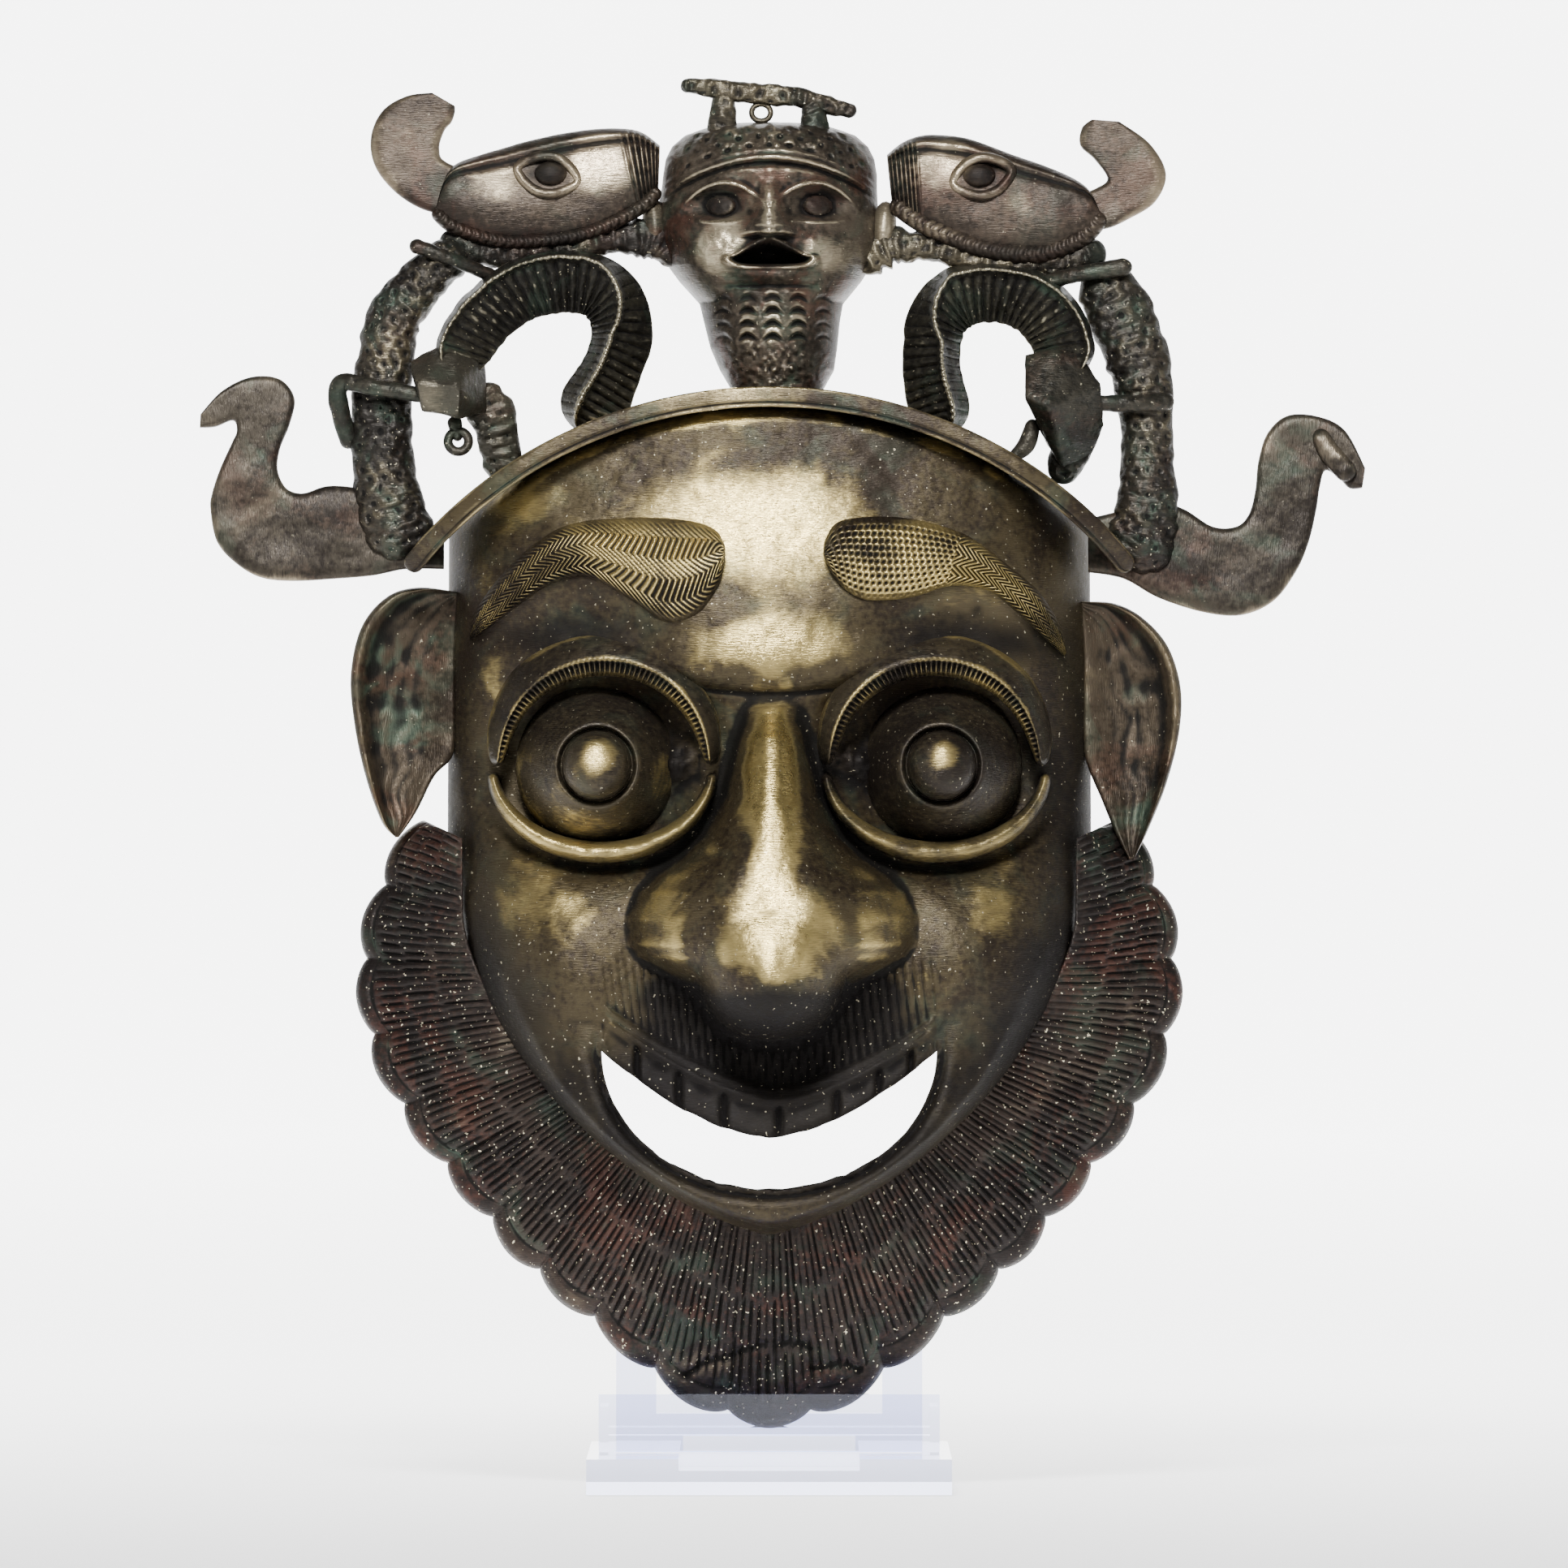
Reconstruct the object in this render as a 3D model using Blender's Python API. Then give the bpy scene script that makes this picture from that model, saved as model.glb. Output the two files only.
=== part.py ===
"""Cast bronze crest mask of a bearded face, held upright by a clear two-part easel.

The mask is one hollow casting. Its carving is laid out in carving units, one
thousandth of a metre at the real height, as x (right), depth (forward from
the back plane) and z (up from the table). The whole mask leans back.
"""
import math

import bmesh
import bpy
import numpy as np

# Driving sizes in metres, the lean in degrees
MASK_HEIGHT = 0.4215
WALL = 0.004
BEARD_THICKNESS = 0.004
PLATE_THICKNESS = 0.005
LEAN = 10.0
GAP = 0.0003
BASE_WIDTH = 0.113
BASE_DEPTH = 0.125
BASE_FRONT = 0.044
FOOT_WIDTH = 0.0285
FOOT_HEIGHT = 0.011
DECK_THICKNESS = 0.0075
LIP_TOP = 0.030
LIP_THICKNESS = 0.003
LIP_WIDTH = 0.106
TRAY_TOP = 0.0196
TRAY_THICKNESS = 0.0025
WINDOW_WIDTH = 0.0535
WINDOW_LOW = 0.0125
ARM_SPACING = 0.083
ARM_WIDTH = 0.0125
ARM_TOP = 0.080
BACK_THICKNESS = 0.005
TRAY_DEPTH = 0.014
RAIL_HEIGHT = 0.012
STEP = 0.0005

# The carving, in carving units of the mask's own height
TIP = 20.0
TALL = 421.5
UNIT = MASK_HEIGHT / TALL
CHEEK = 101.0
CHEEK_LOW = 180.0
CHIN = 78.0
CROWN_RADIUS = 148.0
CROWN_CENTRE = 195.0
EYE_X = 53.5
EYE_Z = 224.0
MOUTH_HALF = 52.0
BEARD_CENTRE = 160.0
BEARD_START = math.radians(-24.0)
SCALLOPS = 22
CREST_DEPTH = 20.0
WALL_UNITS = WALL / UNIT
PLATE_UNITS = PLATE_THICKNESS / UNIT
BEARD_UNITS = BEARD_THICKNESS / UNIT

TIP_HEIGHT = TRAY_TOP + GAP
LEAN_SLOPE = math.tan(math.radians(LEAN))


def clear_scene():
    for item in list(bpy.data.objects):
        bpy.data.objects.remove(item, do_unlink=True)


def material(name, colour, roughness, metallic, alpha=1.0):
    made = bpy.data.materials.new(name)
    made.use_nodes = True
    shader = made.node_tree.nodes["Principled BSDF"]
    shader.inputs["Base Color"].default_value = (*colour, 1.0)
    shader.inputs["Roughness"].default_value = roughness
    shader.inputs["Metallic"].default_value = metallic
    shader.inputs["Alpha"].default_value = alpha
    return made


def place(points):
    """World points of carving points (x, depth, z), with the mask's lean."""
    p = np.asarray(points, float).reshape(-1, 3)
    rise = (p[:, 2] - TIP) * UNIT
    return np.stack([p[:, 0] * UNIT, rise * LEAN_SLOPE - p[:, 1] * UNIT, rise + TIP_HEIGHT], axis=1)


def solid(name, points, faces):
    """An object from points in metres and its faces, closed and facing out."""
    mesh = bpy.data.meshes.new(name)
    mesh.from_pydata([tuple(p) for p in points], [], [tuple(f) for f in faces])
    work = bmesh.new()
    work.from_mesh(mesh)
    bmesh.ops.triangulate(work, faces=work.faces)
    bmesh.ops.recalc_face_normals(work, faces=work.faces)
    work.to_mesh(mesh)
    work.free()
    made = bpy.data.objects.new(name, mesh)
    bpy.context.scene.collection.objects.link(made)
    return made


def loop_side(first, second):
    """Quads between two rings of point numbers."""
    count = len(first)
    return [(first[i], first[(i + 1) % count], second[(i + 1) % count], second[i]) for i in range(count)]


def relief(name, x, depth, z, back):
    """A block with a modelled front over a grid and a flat back."""
    rows, columns = x.shape
    front = np.stack([x, depth, z], axis=-1).reshape(-1, 3)
    edge = [j for j in range(columns)]
    edge += [i * columns + columns - 1 for i in range(1, rows)]
    edge += [(rows - 1) * columns + j for j in range(columns - 2, -1, -1)]
    edge += [i * columns for i in range(rows - 2, 0, -1)]
    rear = front[edge].copy()
    rear[:, 1] = back
    faces = [(i * columns + j, i * columns + j + 1, (i + 1) * columns + j + 1, (i + 1) * columns + j)
             for i in range(rows - 1) for j in range(columns - 1)]
    ring = [len(front) + k for k in range(len(edge))]
    faces += loop_side(edge, ring)
    faces.append(tuple(ring))
    return solid(name, place(np.concatenate([front, rear])), faces)


def loft(name, rings):
    """A closed body through rings of carving points, all with the same count."""
    rings = np.asarray(rings, float)
    count = rings.shape[1]
    faces = []
    for i in range(len(rings) - 1):
        first = [i * count + k for k in range(count)]
        faces += loop_side(first, [k + count for k in first])
    faces.append(tuple(range(count)))
    faces.append(tuple((len(rings) - 1) * count + k for k in range(count)))
    return solid(name, place(rings.reshape(-1, 3)), faces)


def spline(points, steps, closed=False):
    """Points along a smooth curve through the given ones."""
    p = np.array(points, float)
    count = len(p)
    curve = []
    for i in range(count if closed else count - 1):
        if closed:
            a, b, c, d = p[i - 1], p[i], p[(i + 1) % count], p[(i + 2) % count]
        else:
            a, b, c, d = p[max(i - 1, 0)], p[i], p[i + 1], p[min(i + 2, count - 1)]
        for k in range(steps):
            t = k / steps
            curve.append(0.5 * (2 * b + (c - a) * t + (2 * a - 5 * b + 4 * c - d) * t ** 2
                                + (3 * b - a - 3 * c + d) * t ** 3))
    if not closed:
        curve.append(p[-1])
    return np.array(curve)


def sweep(name, path, width, section, base=None):
    """A bar along a path of (x, depth, z); section is (across, forward) pairs.

    Across is scaled by the bar's half width at each station. With base, each
    point's depth is taken from that surface in place of the path's.
    """
    path = np.asarray(path, float)
    along = np.gradient(path[:, [0, 2]], axis=0)
    along /= np.linalg.norm(along, axis=1)[:, None]
    width = np.broadcast_to(width, len(path))
    rings = []
    for point, way, half in zip(path, along, width):
        ring = []
        for across, forward in section:
            x = point[0] + way[1] * across * half
            z = point[2] - way[0] * across * half
            ring.append((x, (point[1] if base is None else base(x, z)) + forward, z))
        rings.append(ring)
    return loft(name, rings)


def plate(name, outline, depth, thick, dome=0.0):
    """A cast plate of the given outline; dome raises its middle."""
    outline = np.asarray(outline, float)
    count = len(outline)
    middle = outline.mean(axis=0)
    rings = [(1.0, depth), (1.0, depth + thick)]
    if dome:
        rings += [(0.85, depth + thick + 0.6 * dome), (0.45, depth + thick + dome)]
    points = []
    for share, level in rings:
        ring = middle + share * (outline - middle)
        points += [(x, level, z) for x, z in ring]
    faces = [tuple(range(count))]
    for i in range(len(rings) - 1):
        first = [i * count + k for k in range(count)]
        faces += loop_side(first, [k + count for k in first])
    faces.append(tuple((len(rings) - 1) * count + k for k in range(count)))
    return solid(name, place(points), faces)


def ball(name, centre, radii, segments=12, rings=8):
    """An egg shape with its poles facing forward and back."""
    points = [(centre[0], centre[1] - radii[1], centre[2])]
    for i in range(1, rings):
        tilt = math.pi * i / rings
        for k in range(segments):
            turn = 2 * math.pi * k / segments
            points.append((centre[0] + radii[0] * math.sin(tilt) * math.cos(turn),
                           centre[1] - radii[1] * math.cos(tilt),
                           centre[2] + radii[2] * math.sin(tilt) * math.sin(turn)))
    points.append((centre[0], centre[1] + radii[1], centre[2]))
    last = len(points) - 1
    faces = [(0, 1 + k, 1 + (k + 1) % segments) for k in range(segments)]
    for i in range(rings - 2):
        first = [1 + i * segments + k for k in range(segments)]
        faces += loop_side(first, [k + segments for k in first])
    faces += [(last, last - 1 - k, last - 1 - (k + 1) % segments) for k in range(segments)]
    return solid(name, place(points), faces)


def turned(name, centre, profile, segments):
    """A body turned about a forward axis through (x, z); profile is (radius, depth) pairs."""
    turn = np.linspace(0, 2 * math.pi, segments, endpoint=False)
    return loft(name, [[(centre[0] + radius * math.cos(a), depth, centre[1] + radius * math.sin(a))
                        for a in turn] for radius, depth in profile])


def box(name, low, high):
    """A block between two corners, in metres."""
    points = [(x, y, z) for x in (low[0], high[0]) for y in (low[1], high[1]) for z in (low[2], high[2])]
    faces = [(0, 1, 3, 2), (4, 6, 7, 5), (0, 4, 5, 1), (2, 3, 7, 6), (0, 2, 6, 4), (1, 5, 7, 3)]
    return solid(name, points, faces)


def hide(parts, group_name):
    group = bpy.data.collections.new(group_name)
    bpy.context.scene.collection.children.link(group)
    for item in parts:
        bpy.context.scene.collection.objects.unlink(item)
        group.objects.link(item)
        item.hide_render = True
        item.display_type = "WIRE"
    return group


def combine(body, operation, parts):
    """Join the parts to the body, or cut them out of it."""
    step = body.modifiers.new(operation.lower(), "BOOLEAN")
    step.operation = operation
    step.solver = "EXACT"
    step.operand_type = "COLLECTION"
    step.collection = hide(parts, body.name + "_" + operation.lower())


def arch(share):
    """Quarter-round rise from 0 to 1, level from there on."""
    share = np.clip(share, 0.0, 1.0)
    return np.sqrt(1.0 - (1.0 - share) ** 2)


def swell(x, z, centre_x, centre_z, radius_x, radius_z):
    return np.exp(-((x - centre_x) / radius_x) ** 2 - ((z - centre_z) / radius_z) ** 2)


def step_up(value, middle, softness):
    return 1.0 / (1.0 + np.exp(-(value - middle) / softness))


def merge(first, second, blend):
    """The greater of two depths, with a soft hollow between them."""
    share = np.clip(0.5 + 0.5 * (first - second) / blend, 0.0, 1.0)
    return second + (first - second) * share + blend * share * (1.0 - share)


def jaw(x):
    """Height of the jaw line at x."""
    share = np.clip(np.abs(x) / CHEEK, 0.0, 1.0)
    return CHEEK_LOW - (CHEEK_LOW - CHIN) * (1.0 - share ** (1 / 0.72)) ** (1 / 1.6)


def crown(x):
    """Height of the forehead's top edge at x."""
    return CROWN_CENTRE + np.sqrt(np.maximum(CROWN_RADIUS ** 2 - np.asarray(x) ** 2, 0.0))


def nose(x, z):
    """Depth of the nose: a bridge, a round tip and two wings."""
    fall = np.interp(z, [140, 150, 166, 190, 215, 240, 247], [38, 62, 92, 88, 74, 59, 48])
    half = np.interp(z, [140, 160, 185, 215, 245], [16, 25, 25, 18, 11])
    bridge = fall - 30.0 * (np.abs(x) / half) ** 2.6
    inside = np.clip(1 - (x / 27) ** 2 - ((z - 167) / 25) ** 2, 0, 1)
    depth = merge(bridge, np.where(inside > 0, 64 + 38 * np.sqrt(inside), 0.0), 3.0)
    for side in (-1, 1):
        inside = np.clip(1 - ((x - side * 29) / 19) ** 2 - ((z - 171) / 16) ** 2, 0, 1)
        depth = merge(depth, np.where(inside > 0, 48 + 32 * np.sqrt(inside), 0.0), 4.0)
    return depth


def plain_face(x, z):
    """Depth of the face's front over its back plane, without the nose."""
    front = 53.0 - 8.0 * (x / 70.0) ** 2 + 4.0 * np.exp(-((z - 290) / 40) ** 2)
    front = front + 8.0 * step_up(z, 249, 2.5) * np.exp(-(x / 70) ** 4) * np.exp(-((z - 262) / 30) ** 2)
    for side in (-1, 1):
        away = ((x - side * EYE_X) / 34) ** 2 + ((z - EYE_Z - 1) / 33) ** 2
        front = front - 11.0 * np.exp(-away ** 2)
        front = front + 9.0 * swell(x, z, side * 62, 166, 27, 25)
    front = front - 7.0 * swell(x, z, 0, 140, 48, 22)
    edge = arch((CHEEK - np.abs(x)) / 35) * arch((z - jaw(x)) / (7 + 23 * step_up(np.abs(x), 75, 7)))
    edge = edge * arch((crown(x) - z) / 10)
    return 2.0 + (front - 2.0) * edge


def face(x, z):
    """Depth of the face's front with its nose."""
    x = np.asarray(x, float)
    z = np.asarray(z, float)
    return merge(plain_face(x, z), nose(x, z), 3.0)


def hollow(x, z):
    """Depth of the hollow behind the face, a wall's thickness everywhere."""
    lowest = plain_face(x, z)
    for turn in np.linspace(0, 2 * math.pi, 12, endpoint=False):
        near_x = x + WALL_UNITS * math.cos(turn)
        near_z = z + WALL_UNITS * math.sin(turn)
        inside = (np.abs(near_x) < CHEEK) & (near_z > jaw(near_x)) & (near_z < crown(near_x))
        lowest = np.minimum(lowest, np.where(inside, plain_face(near_x, near_z), 0.0))
    return np.maximum(lowest - WALL_UNITS, -2.0)


def face_grid(across, up):
    """Points over the face at the given shares of its half width and height."""
    x = CHEEK * np.concatenate([-np.array(across)[:0:-1], across])
    x = np.tile(x, (len(up), 1))
    z = jaw(x) + np.array(up)[:, None] * (crown(x) - jaw(x))
    return x, z


def build_face():
    across = [0, 0.05, 0.1, 0.15, 0.2, 0.26, 0.33, 0.42, 0.52, 0.64, 0.75, 0.85, 0.92, 0.97, 0.993, 1]
    up = [0, 0.006, 0.02, 0.05, 0.1, 0.16, 0.21, 0.24, 0.265, 0.29, 0.315, 0.345, 0.38, 0.42, 0.46, 0.505,
          0.55, 0.595, 0.63, 0.65, 0.675, 0.71, 0.76, 0.82, 0.88, 0.94, 0.97, 0.99, 1]
    x, z = face_grid(across, up)
    return relief("face", x, face(x, z), z, 0.0)


def build_hollow():
    """What is missing behind the face, with a pocket up into the nose."""
    across = [0, 0.17, 0.35, 0.53, 0.7, 0.85, 0.94, 1]
    up = [0, 0.03, 0.08, 0.18, 0.3, 0.42, 0.55, 0.66, 0.78, 0.9, 0.96, 1]
    x, z = face_grid(across, up)
    return [relief("hollow", x, hollow(x, z), z, -6.0), ball("nose_hollow", (0, 46, 174), (13, 38, 20), 8, 6)]


def build_brim():
    """The band round the forehead's top, standing proud of it."""
    turn = np.radians(np.linspace(-50, 50, 17))
    radius = CROWN_RADIUS - 2.5
    path = []
    for angle in turn:
        x = radius * math.sin(angle)
        path.append((x, 6 + 52 * float(arch((121 - abs(x)) / 50)), CROWN_CENTRE + radius * math.cos(angle)))
    section = [(-3.0, -16.3), (-3.0, -0.7), (0.0, 0.3), (3.0, -0.7), (3.0, -16.3)]
    return [sweep("brim", path, 1.0, section)]


def build_eye(side):
    """Eyeball with its ring and stud pupil, and the two lids."""
    tag = "left" if side < 0 else "right"
    x = side * EYE_X
    profile = [(16, 30), (23, 34), (23.5, 42), (20.5, 51), (15, 58), (12.5, 61), (11, 63), (9.3, 60.5),
               (9.2, 65), (6.5, 70), (2.5, 72)]
    parts = [turned(tag + "_eyeball", (x, EYE_Z + 1.5), profile, 14)]
    upper = []
    for angle in np.radians(np.linspace(178, 2, 13)):
        upper.append((x - side * 2.5 + 33.0 * math.cos(angle), 0, EYE_Z + 3 + 34.0 * math.sin(angle)))
    width = [1.5 + 3.6 * max(math.sin(math.radians(a)), 0.0) ** 0.6 for a in np.linspace(178, 2, 13)]
    over = [(-1, -9), (-1, 7.5), (0, 10.5), (1, 8), (1, -9)]
    parts.append(sweep(tag + "_upper_lid", upper, width, over, lid_base))
    lower = []
    for angle in np.radians(np.linspace(188, 352, 11)):
        lower.append((x - side * 1.5 + 34.0 * math.cos(angle), 0, EYE_Z + 1 + 26.0 * math.sin(angle)))
    under = [(-2.6, -8), (-2.4, 4), (0, 7.2), (2.4, 4), (2.6, -8)]
    parts.append(sweep(tag + "_lower_lid", lower, 1.0, under, lid_base))
    return parts


def lid_base(x, z):
    """The plain face without sockets, which carries the lids."""
    front = 47.0 - 7.0 * (np.abs(x) / 70.0) ** 2
    return float(2.0 + front * arch((CHEEK + 4 - np.abs(x)) / 35))


def build_brow(side):
    """Raised eyebrow, broad and round by the nose and drawn out to the temple."""
    line = [(15, 287, 5), (20, 287, 12), (28, 287, 14), (40, 290, 12.5), (52, 293.5, 9.5),
            (64, 291.5, 7.5), (76, 285, 5.7), (86, 274, 4.5), (93, 264, 1.5)]
    if side > 0:
        line = [(x + 3, z - 2, w) for x, z, w in line[:-1]] + [(92, 261, 1.5)]
    line = np.array(line, float)
    path = [(side * x, 0, z) for x, z, w in line]
    section = [(-1, -5), (-1, 2.2), (-0.5, 4), (0.5, 4), (1, 2.2), (1, -5)]
    name = "left_brow" if side < 0 else "right_brow"
    return sweep(name, path, line[:, 2], section, lambda x, z: float(face(x, z)))


def mouth_top(x):
    """Lower edge of the teeth."""
    return 110.4 + 25.0 * (np.abs(x) / MOUTH_HALF) ** 1.7


def mouth_low(x):
    """Lower edge of the mouth's opening."""
    return 138.0 - 43.6 * np.sqrt(1 - (np.abs(x) / MOUTH_HALF) ** 2)


def lip_line(x):
    """The upper lip's ridge."""
    return 123.7 + 20.0 * (x / 52.0) ** 2


def build_mouth_opening():
    across = (MOUTH_HALF - 1) * np.sin(np.linspace(-math.pi / 2, math.pi / 2, 11))
    low = [(x, float(mouth_low(x))) for x in across]
    high = [(x, float(mouth_top(x))) for x in across[::-1]]
    return plate("mouth_opening", low + high, -12, 110)


def lip_base(x, z):
    """Depth that carries the lower lip, level round the mouth's rim."""
    return float(36.0 + 9.0 * math.exp(-(x / 40.0) ** 2))


def build_lips():
    lower = []
    for angle in np.radians(np.linspace(188, 352, 15)):
        lower.append(((MOUTH_HALF + 5) * math.cos(angle), 0, 138 + 48.6 * math.sin(angle)))
    section = [(-5.5, -7), (-5.5, 1.5), (-1, 4.5), (4, 3), (5.5, -7)]
    parts = [sweep("lower_lip", lower, 1.0, section, lip_base)]
    upper = [(x, 0, float(lip_line(x))) for x in np.linspace(-49, 52, 11)]
    section = [(-3, -4.2), (-1.4, 3.1), (1.4, 3.1), (3, -4.2)]
    parts.append(sweep("upper_lip", upper, 1.0, section, lambda x, z: float(face(x, z))))
    return parts


def build_teeth():
    """Eight upper teeth, each a shallow block on the jaw's band."""
    parts = []
    edges = np.linspace(-46, 46, 9)
    for number, (left, right) in enumerate(zip(edges[:-1] + 0.8, edges[1:] - 0.8)):
        corners = [(left, mouth_top(left) - 1), (right, mouth_top(right) - 1),
                   (right, lip_line(right)), (left, lip_line(left))]
        rings = []
        for lift in (-3.0, 1.6):
            rings.append([(x, float(face(x, z)) + lift, z) for x, z in corners])
        parts.append(loft("tooth_%d" % number, rings))
    return parts


def build_nostrils():
    parts = []
    for side in (-1, 1):
        parts.append(ball("nostril", (side * 29, 63, 156), (11, 14, 5.0), 8, 6))
    return parts


def jaw_reach(angle):
    """Distance from the beard's centre to the jaw line, at an angle below level."""
    near, far = 40.0, 130.0
    for _ in range(24):
        middle = 0.5 * (near + far)
        x = middle * math.cos(angle)
        z = BEARD_CENTRE - middle * math.sin(angle)
        if abs(x) < CHEEK and z > jaw(x):
            near = middle
        else:
            far = middle
    return near


def beard_reach(angle):
    """Distance from the beard's centre to its outer edge, without the scallops."""
    reach = 129 * math.cos(angle) ** 2 + 140 * math.sin(angle) ** 2 - 16.5 * math.sin(2 * angle) ** 2
    if math.pi / 4 < angle < 3 * math.pi / 4:
        reach -= 5.0 * math.sin(4 * angle) ** 2
    return reach


def build_beard():
    """The beard's plate: a broad U from ear to ear with a scalloped rim."""
    count = SCALLOPS * 4
    columns = []
    for i in range(count + 1):
        angle = BEARD_START + (math.pi - 2 * BEARD_START) * i / count
        inner = jaw_reach(angle) - 5.5
        lobe = abs(math.sin(math.pi * SCALLOPS * i / count)) ** 0.7
        outer = beard_reach(angle) - 4.0 + 5.0 * lobe
        chin = math.sin(angle) ** 2
        high = 25.0 + 12.0 * chin
        low = BEARD_UNITS + 2.5
        column = []
        for share, lift in ((0.0, high), (0.5, low + 0.62 * (high - low)), (1.0, low), (1.0, 0.0),
                            (0.0, high - BEARD_UNITS)):
            reach = inner + share * (outer - inner)
            column.append((reach * math.cos(angle), lift, BEARD_CENTRE - reach * math.sin(angle)))
        columns.append(column)
    return loft("beard", columns)


def build_ears():
    left = [(-98, 279), (-108, 281), (-119, 279), (-128, 269), (-131.5, 254), (-130, 237),
            (-126, 221), (-118, 202), (-112, 206), (-107, 222), (-98, 228)]
    right = [(98, 276), (108, 276), (117, 272), (125, 263), (129, 250), (128.5, 236), (124, 219),
             (116, 195), (106, 200), (103, 215), (98, 224)]
    parts = []
    for name, outline in (("left_ear", left), ("right_ear", right)):
        parts.append(plate(name, spline(outline, 2, closed=True), 9.6, PLATE_UNITS + 2.5, -2.5))
    return parts


def build_horns():
    left = [(-114, 288), (-135, 284), (-150, 283), (-163, 286), (-171, 293), (-175, 302), (-175, 312),
            (-171, 321), (-167, 329), (-168, 334), (-173, 333), (-179, 332), (-177, 339), (-169, 345),
            (-160, 348), (-152, 345), (-149, 337), (-153, 327), (-155, 319), (-151, 312), (-144, 313),
            (-133, 313), (-118, 306), (-106, 297)]
    right = [(101, 285), (113, 281), (122, 277), (136, 273), (148, 273), (159, 279), (167, 289),
             (171, 302), (173, 315), (176, 319), (181, 313), (187, 314), (188, 320), (182, 331),
             (171, 336), (160, 334), (154, 327), (152, 314), (150, 304), (144, 301), (133, 305),
             (122, 309), (108, 302)]
    return [plate("left_horn", left, CREST_DEPTH + 0.4, PLATE_UNITS),
            plate("right_horn", right, CREST_DEPTH + 0.4, PLATE_UNITS)]


def build_columns():
    """The two rough uprights outside the serpents."""
    left = [(-96, 389, 6.5), (-108, 379, 7.5), (-118, 366, 8.5), (-121, 350, 9), (-122, 334, 9.5),
            (-121, 319, 10), (-118, 304, 11), (-112, 290, 11)]
    right = [(101, 382, 6.5), (110, 368, 7.5), (115, 356, 8), (118, 341, 8.5), (118.5, 325, 8.5),
             (119, 311, 9.5), (117, 299, 11), (111, 287, 12)]
    section = [(-1, -3.7), (-0.8, 5.6), (0, 8.8), (0.8, 5.6), (1, -3.7)]
    parts = []
    for name, line in (("left_column", left), ("right_column", right)):
        line = np.array(line, float)
        path = [(x, CREST_DEPTH + 2, z) for x, z, w in line]
        parts.append(sweep(name, path, line[:, 2], section))
    return parts


def build_serpents():
    """Arched serpents with a ridged back, their heads hanging to the outside."""
    line = spline([(60, 328, 12), (52, 343, 10.5), (46.5, 357, 10), (49, 370, 10), (58, 377, 10),
                   (68, 378, 9.5), (78, 374, 9), (86, 365, 8.5), (91, 355, 8)], 2)
    section = [(-1, 0.6), (-1, 4.3), (0, 14.7), (1, 4.3), (1, 0.6)]
    parts = []
    for side, shift in ((-1, (0, 0)), (1, (2, -3))):
        tag = "left" if side < 0 else "right"
        path = [(side * (x + shift[0]), CREST_DEPTH - 2, z + shift[1]) for x, z, w in line]
        parts.append(sweep(tag + "_serpent", path, line[:, 2], section))
        x = side * (99 if side < 0 else 91)
        z = 346 + shift[1]
        rings = []
        for level, half_x, half_z in ((16, 11, 11), (36, 13, 12), (50, 9, 8)):
            rings.append([(x + half_x * math.cos(a), level, z + half_z * math.sin(a))
                          for a in np.radians((20, 80, 150, 215, 285, 330))])
        parts.append(loft(tag + "_serpent_head", rings))
        foot = [(side * near + shift[0], CREST_DEPTH + 2, z - drop) for near, drop in ((86, 2), (85, 14), (81, 30))]
        parts.append(sweep(tag + "_serpent_foot", foot, (5, 4, 3.4), [(-1, -4), (-1, 5), (1, 5), (1, -4)]))
        tongue = [(side * near + shift[0], CREST_DEPTH + 12, z - drop) for near, drop in ((98, 4), (97, 25))]
        parts.append(sweep(tag + "_tongue", tongue, (5.5, 4.2), [(-1, -5), (-1, 4), (1, 4), (1, -5)]))
    return parts


def rod(name, points, radius):
    path = [(x, depth, z) for x, depth, z in points]
    turn = np.radians(range(45, 405, 90))
    return sweep(name, path, 1.0, [(radius * math.cos(a), radius * math.sin(a)) for a in turn])


def build_rods():
    """The four thin bars that hold the serpents' heads to the uprights."""
    high = CREST_DEPTH + 11
    return [rod("left_upper_rod", [(-113, high, 389.5), (-101, high, 385), (-86, high - 5, 379)], 2.3),
            rod("left_lower_rod", [(-131, high - 8, 325), (-135, high - 3, 338), (-134, high, 345.5),
                                   (-124, high + 4, 344), (-105, high + 6, 341)], 2.8),
            rod("right_upper_rod", [(114, high, 382.5), (98, high, 380), (82, high - 5, 376)], 2.6),
            rod("right_lower_rod", [(127, high - 2, 340), (115, high + 2, 339), (100, high + 4, 339)], 2.8)]


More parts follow.
